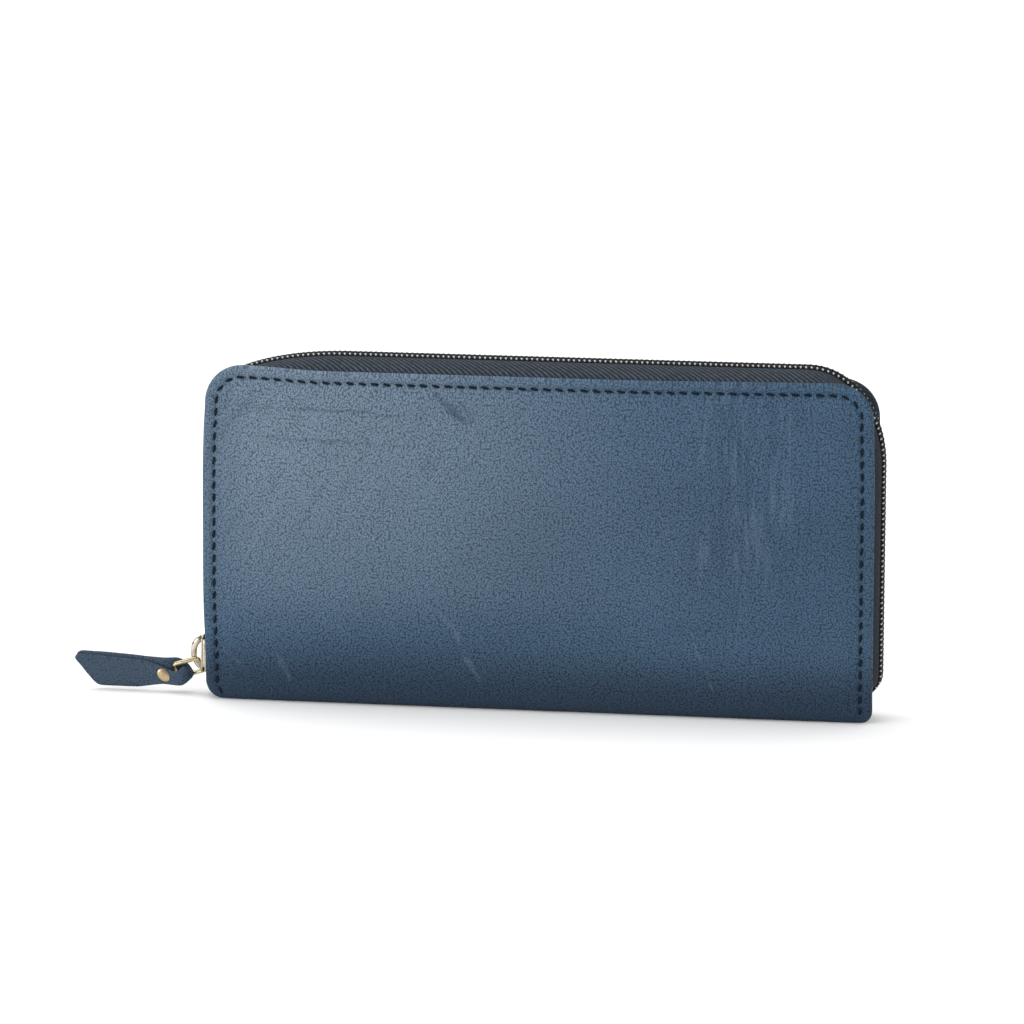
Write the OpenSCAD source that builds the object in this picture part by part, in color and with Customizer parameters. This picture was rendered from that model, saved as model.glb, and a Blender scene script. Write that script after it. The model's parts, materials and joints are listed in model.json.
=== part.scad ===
// Long wallet, closed by one zip that runs round three sides.
// It stands on its spine: X along the length, -Y the front, +Z up.
// The origin is the middle of the spine's flat underside.

/* [Wallet] */
// Length of the leather, left edge to right edge
panel_l = 196; // [170:1:230]
// Height of the leather panels, from the floor to the top edge
panel_h = 99; // [88:1:120]
// Thickness of the closed wallet
wallet_t = 23; // [21.5:0.5:30]
// Radius of the panels' top corners
panel_r = 10; // [4:0.5:14]
// Outer radius of the folds along the spine
fold_r = 4; // [2.5:0.5:5]
// Opening between a panel and the spine, where the leather folds
fold_gap = 0.7; // [0.6:0.05:1]

/* [Layers] */
// Thickness of the outer leather
leather_t = 1.4; // [1:0.1:1.6]
// Thickness of the card stiffeners
stiffener_t = 0.6; // [0.4:0.1:0.7]
// Thickness of the lining
lining_t = 0.5; // [0.3:0.1:0.7]
// Lining's distance from the panel edge
lining_inset = 2; // [1:0.5:5]
// Thickness of one leaf of the card pockets
leaf_t = 0.6; // [0.4:0.1:0.7]
// Leaves on each side
leaf_count = 4; // [2:1:4]
// Height of the tallest leaf's top edge
leaf_top = 88; // [80:1:90]
// How much lower each next leaf is
leaf_step = 9; // [6:1:11]
// Height at which the leaves start
leaf_foot = 8; // [6.5:0.5:12]
// Leaves' distance from the panel's ends
leaf_inset = 5; // [4:0.5:12]

/* [Zip] */
// Thickness of the woven tape
tape_t = 0.6; // [0.4:0.1:0.7]
// Depth of tape sewn in behind the leather
tape_seam = 7; // [5:0.5:9]
// Half width of the tape's flat middle
tape_flat = 5; // [4.4:0.1:6]
// Half width of the slit between the two tapes
tape_slit = 1; // [0.9:0.05:1.2]
// How far the tape stands above the panels' top edge
rise_top = 2.1; // [0.5:0.1:5]
// How far the tape stands out of the panels' ends
rise_end = -0.6; // [-1.5:0.1:2]
// Radius of the zip's corners
zip_r = 22; // [12:1:24]
// Height of the zip's ends above the floor
zip_foot = 5; // [4.8:0.1:6]
// Half width of the closed coil
coil_w = 2.7; // [2.2:0.1:3]
// Thickness of the coil
coil_t = 1.6; // [1:0.1:2]
// Half of the gap between the two coils
coil_gap = 0.1; // [0.05:0.05:0.2]
// Length of each end stop
stop_l = 1.3; // [0.8:0.1:1.4]

/* [Slider] */
// Length of the slider
slider_l = 11; // [9:0.5:14]
// Thickness of the slider's two plates
slider_t = 0.8; // [0.6:0.1:1]
// Thickness of the side flanges
flange_t = 0.7; // [0.5:0.1:1]
// Free space round the coil and the tape
slider_fit = 0.2; // [0.15:0.05:0.3]
// Length of the wedge that parts the coils
wedge_l = 3; // [2:0.5:4]
// Way that the slider moves up the wallet's end
slider_travel = 50; // [20:1:55]
// Depth of the crown's window
window_d = 3.1; // [3.1:0.1:4]
// Length of the crown's window
window_l = 6.6; // [6:0.1:7.4]
// Thickness of the crown's arch
crown_t = 0.9; // [0.7:0.1:1.2]
// Width of the crown
crown_w = 1.2; // [0.9:0.1:1.3]

/* [Pull] */
// Wire radius of the ring
wire_r = 0.55; // [0.4:0.05:0.6]
// Length of the ring between the middles of its bars
ring_l = 7.6; // [6:0.2:12]
// Width of the ring between the middles of its arms
ring_w = 5; // [4.8:0.1:6]
// Turn of the ring round its own length
ring_roll = -53; // [-60:1:-40]
// Dip of the ring's outer end
ring_dip = 16; // [10:1:20]
// Height of the ring's inner bar above the slider's foot
ring_lift = 3.9; // [3.5:0.1:5]
// Length of the leather tab, from the ring's outer bar to its tip
tab_l = 29.4; // [20:0.5:40]
// Height of the tab at its tail
tab_h = 9.5; // [8:0.1:11]
// Thickness of each of the tab's two layers
tab_t = 1.2; // [0.9:0.1:1.4]
// Free radius round the wire in the tab's eye
eye_fit = 0.07; // [0.03:0.01:0.1]
// Radius of the rivet's heads
rivet_r = 2.2; // [1.8:0.1:2.6]
// Thickness of the rivet's heads
rivet_t = 0.7; // [0.5:0.1:1]

/* [Coin pocket] */
// Thickness of the closed coin pocket
pocket_t = 3.6; // [3:0.1:4.4]
// Thickness of the pocket's walls
wall_t = 0.7; // [0.5:0.1:0.8]
// Height of the pocket's zip above the floor
pocket_h = 84; // [76:0.5:86]
// Pocket's distance from the panel's ends
pocket_inset = 4; // [3.5:0.5:10]
// Half width of the pocket at its zip
pocket_mouth = 4.3; // [4:0.1:4.6]
// Height of the flared mouth
flare_h = 6; // [5:0.5:10]
// Thickness of the pocket's tape
coin_tape_t = 0.5; // [0.4:0.1:0.6]
// Half width of the pocket's coil
coin_coil_w = 1.9; // [1.6:0.1:2]
// Thickness of the pocket's coil
coin_coil_t = 1.2; // [1:0.1:1.4]
// Length of the pocket's slider
coin_slider_l = 8; // [6:0.5:9]
// Pocket slider's distance from the pocket's left end
coin_slider_inset = 24; // [20:1:40]
// Length of the pocket slider's pull
coin_pull_l = 9; // [6:0.5:9]
// Depth of the folded gussets
gusset_d = 16; // [12:0.5:22]
// Thickness of the gussets
gusset_t = 0.5; // [0.3:0.1:0.6]

/* [Hidden] */
$fn = 48;
HAIR = 0.1; // free space between pieces that only lie beside each other
hull_fn = 32;
leather_colour = [0.19, 0.27, 0.37];
lining_colour = [0.12, 0.14, 0.18];
tape_colour = [0.13, 0.14, 0.16];
coil_colour = [0.07, 0.07, 0.08];
metal_colour = [0.72, 0.68, 0.58];
brass_colour = [0.70, 0.58, 0.36];

half_t = wallet_t / 2;
half_l = panel_l / 2;
// Middle of the leather at the fold: the line that a half turns about.
hinge_y = half_t - leather_t / 2;
hinge_z = fold_r + fold_gap / 2;
panel_foot = fold_r + fold_gap;
// Layers from the outside in, as distances from the middle plane.
seam_y = half_t - leather_t;
lining_y = seam_y - max(stiffener_t, tape_t);
leaf_y = lining_y - lining_t;
stack_y = leaf_y - leaf_count * leaf_t;
floor_top = leather_t + lining_t;
seam_r = panel_r - tape_t;
stiffener_lift = 1;

// The zip's line: how high the tape's outer face is, and how far out.
zip_x = half_l + rise_end;
zip_z = panel_h + rise_top;
coil_x = zip_x + coil_t;
// The stretch of coil that the slider runs over has its own pieces.
slider_foot = zip_foot + stop_l + HAIR;
run_foot = slider_foot + wedge_l + 2 * HAIR;
run_spare = 1;
run_top = slider_foot + slider_l + slider_travel + run_spare;
plate_x = coil_x + slider_fit;
crown_x = plate_x + slider_t;
slider_w = coil_w + slider_fit + flange_t;
under_x = zip_x - tape_t - slider_fit;

ring_x = -(crown_x + window_d / 2);
ring_z = slider_foot + ring_lift;
eye_r = wire_r + eye_fit;
neck_w = ring_w - 2 * wire_r - 2 * slider_fit;
eye_x = ring_x - ring_l * cos(ring_dip);
// The tab: where its flat body starts, its neck, and the slant of its tail.
body_gap = 4;
tab_end_x = eye_x - body_gap;
neck_l = 4.5;
tail_run = 6.3;
tail_rise = 1.8;
tail_lift = 0.4;
tail_drop = 1.2;
foot_run = 11;
tab_foot = 0.3;
tab_shoulder = 0.6;
tab_drop = 1;
rivet_edge = 0.6;
rivet_drop = 0.4;

pocket_x = half_l - pocket_inset;
pocket_y = pocket_t / 2;
mouth_foot = pocket_h - flare_h / 2;
gusset_top = pocket_h - flare_h - HAIR;
coin_under = pocket_h - coin_tape_t;
coin_tape_y = pocket_mouth - wall_t;
coin_x0 = -pocket_x + coin_slider_inset;
coin_tape_x = pocket_x - coin_slider_inset / 2;
coin_flange = 0.5;
coin_plate_t = 0.7;
coin_slider_w = coin_coil_w + slider_fit + coin_flange;
coin_top = pocket_h + coin_coil_t + slider_fit;
coin_pin_r = 0.4;
coin_pin_lift = 0.9;
coin_pin_z = coin_top + coin_plate_t + coin_pin_lift;
coin_bridge_w = 0.9;
coin_bridge_top = 0.8;
coin_wedge_l = 2;
coin_wedge_w = 0.6;
coin_slit = 0.4;
coin_arm_w = 0.7;

// A shape drawn as X and Z, given a thickness from y0 to y1 on the front side (y0 < y1, from the middle).
module slab(y0, y1) translate([0, -y0, 0]) rotate([90, 0, 0]) linear_extrude(y1 - y0) children();

// The back is the front turned over, as the wallet is the same on both sides.
module back_side() mirror([0, 1, 0]) children();

// An upright panel with round top corners.
module arch(half_w, z0, z1, r) {
    translate([-half_w, z0]) square([2 * half_w, z1 - z0 - r]);
    translate([-half_w + r, z0]) square([2 * (half_w - r), z1 - z0]);
    for (s = [-1, 1]) translate([s * (half_w - r), z1 - r]) circle(r);
}

// The zip's own outline, drawn in by a distance.
module zip_arch(inset) arch(zip_x - inset, 0, zip_z - inset, zip_r - inset);

// A three-sided band of the zip: from inset to inset, above the height z0.
module zip_band(outer, inner, z0) difference() {
    intersection() {
        zip_arch(outer);
        translate([-panel_l, z0]) square([2 * panel_l, 2 * panel_h]);
    }
    translate([0, -1]) zip_arch_low(inner);
}
module zip_arch_low(inset) arch(zip_x - inset, -1, zip_z - inset + 1, zip_r - inset);

// ---- Outer leather, stiffeners and linings ----
module leather_panel() color(leather_colour)
    slab(seam_y, half_t) arch(half_l, panel_foot, panel_h, panel_r);

module spine_outline(r, y) {
    translate([-(y - r), fold_r - r]) square([2 * (y - r), r]);
    for (s = [-1, 1]) intersection() {
        translate([s * (y - r), fold_r]) circle(r);
        translate([-half_t, 0]) square([wallet_t, fold_r]);
    }
}
module spine_leather() color(leather_colour)
    rotate([90, 0, 90]) translate([0, 0, -half_l]) linear_extrude(panel_l) difference() {
        spine_outline(fold_r, half_t);
        spine_outline(fold_r - leather_t, seam_y);
    }
module stiffener() color("tan")
    slab(seam_y - stiffener_t, seam_y)
        arch(half_l - tape_seam - HAIR, panel_foot + stiffener_lift, panel_h - tape_seam - HAIR, seam_r);
module lining() color(lining_colour)
    slab(leaf_y, lining_y) arch(half_l - lining_inset, panel_foot, panel_h - lining_inset,
                                panel_r - lining_inset);
module spine_lining() color(lining_colour)
    translate([-(half_l - lining_inset), -(half_t - fold_r), leather_t])
        cube([2 * (half_l - lining_inset), 2 * (half_t - fold_r), lining_t]);

// ---- Card pockets: each leaf is lower than the one behind it ----
module card_leaf(i) color(leather_colour)
    slab(leaf_y - (i + 1) * leaf_t, leaf_y - i * leaf_t)
        translate([-(half_l - leaf_inset), leaf_foot])
            square([2 * (half_l - leaf_inset), leaf_top - i * leaf_step - leaf_foot]);

// ---- Zip tape: sewn in behind the leather, sloping in to a flat middle ----
module thin_arch(y) slab(y - tape_t, y) intersection() {
    children();
    translate([-panel_l, 0]) square([2 * panel_l, 2 * panel_h]);
}
module panel_arch(inset) arch(half_l - inset, 0, panel_h - inset, panel_r - inset, $fn = hull_fn);
module tape_slope(inset) hull() {
    thin_arch(seam_y) panel_arch(inset);
    thin_arch(tape_flat + tape_t) arch(zip_x - inset, 0, zip_z - inset, zip_r - inset, $fn = hull_fn);
}
module zip_tape() color(tape_colour) {
    slab(tape_slit, tape_flat) zip_band(0, tape_t, zip_foot);
    difference() {
        tape_slope(0);
        translate([0, 0, -HAIR]) tape_slope(tape_t);
        translate([-panel_l, -panel_l, -panel_h + zip_foot]) cube([2 * panel_l, 2 * panel_l, panel_h]);
    }
    slab(seam_y - tape_t, seam_y) difference() {
        arch(half_l, zip_foot, panel_h, panel_r);
        arch(half_l - tape_seam, 0, panel_h - tape_seam, seam_r);
    }
}

// ---- Zip coil: the closed half of the teeth, on the outside of its tape ----
module coil_band(z0) slab(coil_gap, coil_w) zip_band(-coil_t, 0, z0);
module zip_coil() color(coil_colour) difference() {
    coil_band(slider_foot);
    translate([-2 * panel_l, -half_t, 0]) cube([2 * panel_l, wallet_t, run_top]);
}
module coil_run() color(coil_colour)
    translate([-coil_x, -coil_w, run_foot]) cube([coil_t, coil_w - coil_gap, run_top - run_foot]);
module zip_stops() color(metal_colour)
    for (s = [-1, 1]) translate([s > 0 ? zip_x : -coil_x, -coil_w, zip_foot])
        cube([coil_t, coil_w - tape_slit, stop_l]);

// ---- Gussets: folded sides of the note compartments ----
module gusset(side) color(leather_colour) {
    y0 = pocket_y;
    y1 = stack_y - HAIR;
    depth = gusset_d;
    mirror([side < 0 ? 1 : 0, 0, 0]) translate([pocket_x - depth, 0, leaf_foot]) difference() {
        translate([0, -y1, 0]) cube([depth, y1 - y0, gusset_top - leaf_foot]);
        translate([gusset_t, -y1 + gusset_t, -1])
            cube([depth, y1 - y0 - 2 * gusset_t, gusset_top]);
    }
}

// ---- Coin pocket: two walls that stand on the spine and flare to a zip ----
module coin_wall() color(leather_colour)
    rotate([90, 0, 90]) translate([0, 0, -pocket_x]) linear_extrude(2 * pocket_x) polygon([
        [-pocket_y, floor_top], [-(pocket_y - wall_t), floor_top],
        [-(pocket_y - wall_t), pocket_h - flare_h], [-coin_tape_y, mouth_foot],
        [-coin_tape_y, pocket_h], [-pocket_mouth, pocket_h],
        [-pocket_mouth, mouth_foot], [-pocket_y, pocket_h - flare_h]]);
module coin_tape() color(tape_colour) translate([-coin_tape_x, -coin_tape_y, 0]) {
    translate([0, 0, coin_under]) cube([2 * coin_tape_x, coin_tape_y - coin_slit, coin_tape_t]);
    translate([0, 0, mouth_foot]) cube([2 * coin_tape_x, coin_tape_t, flare_h / 2]);
}
module coin_coil() color(coil_colour)
    translate([coin_x0 + coin_wedge_l + HAIR, -coin_coil_w, pocket_h])
        cube([coin_tape_x - coin_x0 - coin_wedge_l - HAIR, coin_coil_w - coil_gap, coin_coil_t]);
module coin_slider() color(metal_colour) translate([coin_x0, 0, 0]) {
    translate([0, -coin_slider_w, coin_top]) cube([coin_slider_l, 2 * coin_slider_w, coin_plate_t]);
    translate([0, -coin_slider_w, coin_under - slider_fit - coin_plate_t])
        cube([coin_slider_l, 2 * coin_slider_w, coin_plate_t]);
    for (s = [-1, 1]) translate([0, s > 0 ? coin_coil_w + slider_fit : -coin_slider_w, pocket_h + slider_fit])
        cube([coin_slider_l, coin_flange, coin_top - pocket_h]);
    translate([0, -coin_wedge_w / 2, coin_under - slider_fit - coin_plate_t / 2])
        cube([coin_wedge_l, coin_wedge_w, coin_top - coin_under + slider_fit + coin_plate_t]);
    // The bridge that the pull hangs on.
    difference() {
        translate([coin_slider_l / 4, -coin_bridge_w / 2, coin_top + coin_plate_t / 2])
            cube([coin_slider_l / 2, coin_bridge_w, coin_pin_z - coin_top + coin_bridge_top]);
        translate([coin_slider_l / 2, coin_bridge_w, coin_pin_z]) rotate([90, 0, 0])
            cylinder(r = coin_pin_r + eye_fit, h = 2 * coin_bridge_w);
    }
}
module coin_pull() color(metal_colour) translate([coin_x0 + coin_slider_l / 2, 0, coin_pin_z]) {
    arm_y = coin_bridge_w / 2 + slider_fit;
    arm_w = coin_arm_w;
    reach = coin_slider_l / 4 + 2 * slider_fit;
    rotate([90, 0, 0]) cylinder(r = coin_pin_r, h = 2 * (arm_y + arm_w / 2), center = true);
    for (s = [-1, 1]) translate([-coin_pin_r, s > 0 ? arm_y : -arm_y - arm_w, -coin_pin_r])
        cube([coin_pin_r + reach + arm_w, arm_w, 2 * coin_pin_r]);
    translate([reach, -arm_y - arm_w, -coin_pin_r])
        cube([coin_pull_l - reach - arm_y, 2 * (arm_y + arm_w), 2 * coin_pin_r]);
    translate([coin_pull_l - arm_y, 0, -coin_pin_r]) cylinder(r = arm_y + arm_w, h = 2 * coin_pin_r);
}

// ---- Slider: two plates joined by a wedge, with flanges round the coil ----
module zip_slider() color(metal_colour) translate([0, -slider_w, slider_foot]) {
    translate([-crown_x, 0, 0]) cube([slider_t, 2 * slider_w, slider_l]);
    translate([-under_x, 0, 0]) cube([slider_t, 2 * slider_w, slider_l]);
    for (y = [0, 2 * slider_w - flange_t]) translate([-plate_x - HAIR, y, 0])
        cube([plate_x - zip_x - slider_fit + HAIR, flange_t, slider_l]);
    translate([-plate_x - HAIR, slider_w - tape_slit + HAIR, 0])
        cube([plate_x - under_x + 2 * HAIR, 2 * (tape_slit - HAIR), wedge_l]);
}
module slider_crown() color(metal_colour) {
    depth = window_d + crown_t;
    length = window_l + 2 * crown_t;
    translate([-crown_x - depth, -crown_w / 2, slider_foot + (slider_l - length) / 2]) difference() {
        cube([depth, crown_w, length]);
        translate([crown_t, -crown_w, crown_t]) cube([depth, 3 * crown_w, window_l]);
    }
}

// ---- Ring and tab, in the ring's own place: -X along the ring, Y along its bars ----
module at_ring() translate([ring_x, 0, ring_z]) rotate([0, -ring_dip, 0]) rotate([ring_roll, 0, 0])
    children();
module pull_ring() color(brass_colour) at_ring() {
    arm_t = wire_r + HAIR / 2;
    for (x = [0, -ring_l]) translate([x, ring_w / 2, 0]) rotate([90, 0, 0])
        cylinder(r = wire_r, h = ring_w);
    for (y = [-ring_w / 2, ring_w / 2]) translate([-ring_l - arm_t, y - arm_t, -arm_t])
        cube([ring_l + 2 * arm_t, 2 * arm_t, 2 * arm_t]);
}
module pull_tab() color(leather_colour) difference() {
    union() {
        at_ring() translate([-ring_l, 0, 0]) {
            rotate([90, 0, 0]) cylinder(r = wire_r + tab_t, h = neck_w, center = true);
            translate([-neck_l, -neck_w / 2, -tab_t]) cube([neck_l, neck_w, 2 * tab_t]);
        }
        slab(-tab_t, tab_t) polygon([
            [tab_end_x, tab_shoulder], [tab_end_x, tab_h - tab_drop],
            [eye_x - tab_l + tail_rise, tab_h + tail_lift], [eye_x - tab_l, tab_h - tail_drop],
            [eye_x - tab_l + tail_run, 3 * tab_foot], [eye_x - tab_l + foot_run, tab_foot]]);
    }
    at_ring() translate([-ring_l, 0, 0]) rotate([90, 0, 0])
        cylinder(r = eye_r, h = 2 * neck_w, center = true);
    rivet_place() cylinder(r = rivet_r / 2 + eye_fit, h = 4 * tab_t, center = true);
}
module rivet_place() translate([tab_end_x - rivet_r - rivet_edge, 0, tab_h / 2 - rivet_drop]) rotate([90, 0, 0]) children();
module tab_rivet() color(brass_colour) rivet_place() {
    cylinder(r = rivet_r / 2, h = 2 * tab_t, center = true);
    for (s = [-1, 1]) translate([0, 0, s * (tab_t + rivet_t / 2)])
        cylinder(r = rivet_r, h = rivet_t, center = true);
}

leather_panel();  // front_leather
spine_leather();
back_side() leather_panel();  // back_leather
stiffener();  // front_stiffener
back_side() stiffener();  // back_stiffener
lining();  // front_lining
spine_lining();
back_side() lining();  // back_lining
card_leaf(0);  // front_card_leaf_1
card_leaf(1);  // front_card_leaf_2
card_leaf(2);  // front_card_leaf_3
card_leaf(3);  // front_card_leaf_4
back_side() card_leaf(0);  // back_card_leaf_1
back_side() card_leaf(1);  // back_card_leaf_2
back_side() card_leaf(2);  // back_card_leaf_3
back_side() card_leaf(3);  // back_card_leaf_4
zip_tape();  // front_zip_tape
back_side() zip_tape();  // back_zip_tape
zip_coil();  // front_zip_coil
back_side() zip_coil();  // back_zip_coil
coil_run();  // front_coil_run
back_side() coil_run();  // back_coil_run
zip_stops();  // front_zip_stops
back_side() zip_stops();  // back_zip_stops
gusset(-1);  // front_left_gusset
gusset(1);  // front_right_gusset
back_side() gusset(-1);  // back_left_gusset
back_side() gusset(1);  // back_right_gusset
coin_wall();  // coin_front_wall
back_side() coin_wall();  // coin_back_wall
coin_tape();  // coin_front_tape
back_side() coin_tape();  // coin_back_tape
coin_coil();  // coin_front_coil
back_side() coin_coil();  // coin_back_coil
coin_slider();
coin_pull();
zip_slider();
slider_crown();
pull_ring();
pull_tab();
tab_rivet();
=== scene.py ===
import json
import math
import bmesh
import bpy
import numpy as np
from mathutils import Matrix, Vector, noise


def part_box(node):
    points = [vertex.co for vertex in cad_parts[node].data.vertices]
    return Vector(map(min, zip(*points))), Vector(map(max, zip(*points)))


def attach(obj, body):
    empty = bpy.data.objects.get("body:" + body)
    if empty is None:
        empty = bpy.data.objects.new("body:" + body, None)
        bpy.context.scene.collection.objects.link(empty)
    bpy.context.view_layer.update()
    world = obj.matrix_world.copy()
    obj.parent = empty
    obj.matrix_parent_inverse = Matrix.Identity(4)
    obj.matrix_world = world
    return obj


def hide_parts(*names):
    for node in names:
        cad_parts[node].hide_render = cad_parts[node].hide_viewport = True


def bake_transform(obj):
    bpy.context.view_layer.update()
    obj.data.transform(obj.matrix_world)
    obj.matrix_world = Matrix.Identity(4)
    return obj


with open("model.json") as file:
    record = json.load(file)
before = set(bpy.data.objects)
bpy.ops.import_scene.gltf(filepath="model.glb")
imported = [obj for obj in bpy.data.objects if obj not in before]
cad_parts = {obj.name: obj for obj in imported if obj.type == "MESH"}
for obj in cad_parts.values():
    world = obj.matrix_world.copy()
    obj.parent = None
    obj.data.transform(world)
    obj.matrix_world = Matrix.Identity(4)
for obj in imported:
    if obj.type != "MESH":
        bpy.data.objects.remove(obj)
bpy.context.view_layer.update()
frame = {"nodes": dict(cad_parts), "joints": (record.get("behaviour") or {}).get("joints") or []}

mm = 0.001
print("frame loaded")

# The frame's own sizes: everything below is placed from these.
leatherLow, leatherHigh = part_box("front_leather")
halfLength = leatherHigh[0]
panelTop = leatherHigh[2]
tapeLow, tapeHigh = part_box("front_zip_tape")
coilLow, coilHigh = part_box("front_zip_coil")
joints = {joint["name"]: joint for joint in frame["joints"]}
spineBody, frontBody, backBody = "spine_and_pocket", "front_half", "back_half"


def newPiece(name, points, faces, material=None):
    mesh = bpy.data.meshes.new(name)
    mesh.from_pydata([tuple(point) for point in points], [], faces)
    mesh.validate()
    mesh.shade_smooth()
    piece = bpy.data.objects.new(name, mesh)
    bpy.context.collection.objects.link(piece)
    if material:
        mesh.materials.append(material)
    return piece


def settle(piece):  # turns what the modifiers make into a plain mesh
    graph = bpy.context.evaluated_depsgraph_get()
    mesh = bpy.data.meshes.new_from_object(piece.evaluated_get(graph))
    piece.modifiers.clear()
    piece.data = mesh
    mesh.name = piece.name
    return piece


def gridFaces(rows, columns, closedRows=False, flip=False):
    faces = []
    for j in range(rows if closedRows else rows - 1):
        for i in range(columns - 1):
            a, b = j * columns + i, j * columns + i + 1
            c, d = ((j + 1) % rows) * columns + i + 1, ((j + 1) % rows) * columns + i
            faces.append((a, d, c, b) if flip else (a, b, c, d))
    return faces


def gridPiece(name, grid, material, flip=False, uv=None):
    # grid is rows by columns of points; uv the same of (u, v) in metres
    rows, columns = grid.shape[:2]
    piece = newPiece(name, grid.reshape(-1, 3), gridFaces(rows, columns, flip=flip), material)
    if uv is not None:
        flat = uv.reshape(-1, 2)
        layer = piece.data.uv_layers.new(name="UVMap")
        for loop in piece.data.loops:
            layer.data[loop.index].uv = flat[loop.vertex_index]
    return piece


def thicken(piece, thickness, bevel=0.0, even=True):
    solid = piece.modifiers.new("Thickness", "SOLIDIFY")
    solid.thickness = thickness
    solid.offset = -1
    solid.use_even_offset = even
    if bevel:
        rim = piece.modifiers.new("Rim", "BEVEL")
        rim.width = bevel
        rim.segments = 2
        rim.limit_method = "ANGLE"
        rim.angle_limit = math.radians(50)
    return settle(piece)


def joinPieces(name, pieces):
    points, faces, marks, base = [], [], [], 0
    materials = []
    for piece in pieces:
        mesh = piece.data
        for material in mesh.materials:
            if material not in materials:
                materials.append(material)
        points += [piece.matrix_world @ vertex.co for vertex in mesh.vertices]
        faces += [tuple(base + v for v in face.vertices) for face in mesh.polygons]
        marks += [materials.index(mesh.materials[face.material_index]) for face in mesh.polygons]
        base += len(mesh.vertices)
        bpy.data.objects.remove(piece)
    joined = newPiece(name, points, faces)
    for material in materials:
        joined.data.materials.append(material)
    for face, mark in zip(joined.data.polygons, marks):
        face.material_index = mark
    return joined


def tubePiece(name, path, radii, sides, material, closed=False, squash=1.0, up=(0, 0, 1)):
    # a round or flattened wire along a path
    path = [Vector(point) for point in path]
    count = len(path)
    points = []
    for k, here in enumerate(path):
        before = path[(k - 1) % count] if closed or k else here
        after = path[(k + 1) % count] if closed or k < count - 1 else here
        along = (after - before).normalized()
        side = along.cross(Vector(up)).normalized()
        over = side.cross(along).normalized()
        radius = radii[k] if hasattr(radii, "__len__") else radii
        for s in range(sides):
            angle = 2 * math.pi * s / sides
            points.append(here + side * math.cos(angle) * radius + over * math.sin(angle) * radius * squash)
    faces = []
    for k in range(count if closed else count - 1):
        for s in range(sides):
            a, b = k * sides + s, k * sides + (s + 1) % sides
            c, d = ((k + 1) % count) * sides + (s + 1) % sides, ((k + 1) % count) * sides + s
            faces.append((a, b, c, d))
    if not closed:
        faces.append(tuple(reversed(range(sides))))
        faces.append(tuple((count - 1) * sides + s for s in range(sides)))
    return newPiece(name, points, faces, material)


def ringFaces(rings, sides):
    # quads from each ring of points to the next, with both ends closed
    faces = []
    for k in range(rings - 1):
        for s in range(sides):
            near, far, turn = k * sides, (k + 1) * sides, (s + 1) % sides
            faces.append((near + s, near + turn, far + turn, far + s))
    faces += [tuple(range(sides)), tuple((rings - 1) * sides + s for s in range(sides))]
    return faces


def moved(piece, matrix):
    piece.data.transform(matrix)
    if matrix.determinant() < 0:
        piece.data.flip_normals()
    return piece


def slabPiece(name, outline, low, high, axis, material, bevel=0.0, segments=3):
    # a flat outline given a thickness along one axis, with rounded edges
    order = {"x": (2, 0, 1), "y": (0, 2, 1), "z": (0, 1, 2)}[axis]

    def place(point, level):
        values = (point[0], point[1], level)
        return tuple(values[k] for k in order)
    count = len(outline)
    points = [place(point, low) for point in outline] + [place(point, high) for point in outline]
    faces = [tuple(range(count)), tuple(reversed(range(count, 2 * count)))]
    faces += [(k, k + count, (k + 1) % count + count, (k + 1) % count) for k in range(count)]
    piece = newPiece(name, points, faces, material)
    outward(piece)
    if bevel:
        edge = piece.modifiers.new("Edge", "BEVEL")
        edge.width = bevel
        edge.segments = segments
        edge.limit_method = "ANGLE"
        edge.angle_limit = math.radians(35)
        settle(piece)
    return piece


def outward(piece):  # makes every face of a closed shape point out of it
    work = bmesh.new()
    work.from_mesh(piece.data)
    bmesh.ops.recalc_face_normals(work, faces=work.faces)
    work.to_mesh(piece.data)
    work.free()
    piece.data.shade_smooth()


def roundOutline(halfX, halfY, radius, steps=6, centre=(0, 0)):
    outline = []
    for k, (sx, sy) in enumerate(((1, 1), (-1, 1), (-1, -1), (1, -1))):
        for s in range(steps + 1):
            angle = math.radians(90 * (k + s / steps))
            outline.append((centre[0] + sx * (halfX - radius) + radius * math.cos(angle),
                            centre[1] + sy * (halfY - radius) + radius * math.sin(angle)))
    return outline


def smooth(low, high, value):
    t = np.clip((value - low) / (high - low), 0, 1)
    return t * t * (3 - 2 * t)


def put(tree, kind, inputs=None, **settings):
    node = tree.nodes.new(kind)
    for key, value in settings.items():
        setattr(node, key, value)
    for key, value in (inputs or {}).items():
        if isinstance(value, bpy.types.NodeSocket):
            tree.links.new(value, node.inputs[key])
        else:
            node.inputs[key].default_value = value
    return node


def calc(tree, operation, a, b=None, c=None, clamp=False):
    inputs = {0: a}
    if b is not None:
        inputs[1] = b
    if c is not None:
        inputs[2] = c
    return put(tree, "ShaderNodeMath", inputs, operation=operation, use_clamp=clamp).outputs[0]


def remap(tree, value, low, high, outLow=0.0, outHigh=1.0, soft=True):
    return put(tree, "ShaderNodeMapRange", {0: value, 1: low, 2: high, 3: outLow, 4: outHigh},
               interpolation_type="SMOOTHSTEP" if soft else "LINEAR").outputs[0]


def blendColour(tree, amount, a, b, mode="MIX"):
    node = put(tree, "ShaderNodeMix", {0: amount, 6: a, 7: b}, data_type="RGBA", blend_type=mode)
    return node.outputs[2]


def newGroup(name, inputs, outputs):
    group = bpy.data.node_groups.new(name, "ShaderNodeTree")
    for label, kind, value in inputs:
        socket = group.interface.new_socket(name=label, in_out="INPUT", socket_type=kind)
        if value is not None:
            socket.default_value = value
    for label, kind in outputs:
        group.interface.new_socket(name=label, in_out="OUTPUT", socket_type=kind)
    return group, put(group, "NodeGroupInput"), put(group, "NodeGroupOutput")


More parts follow.
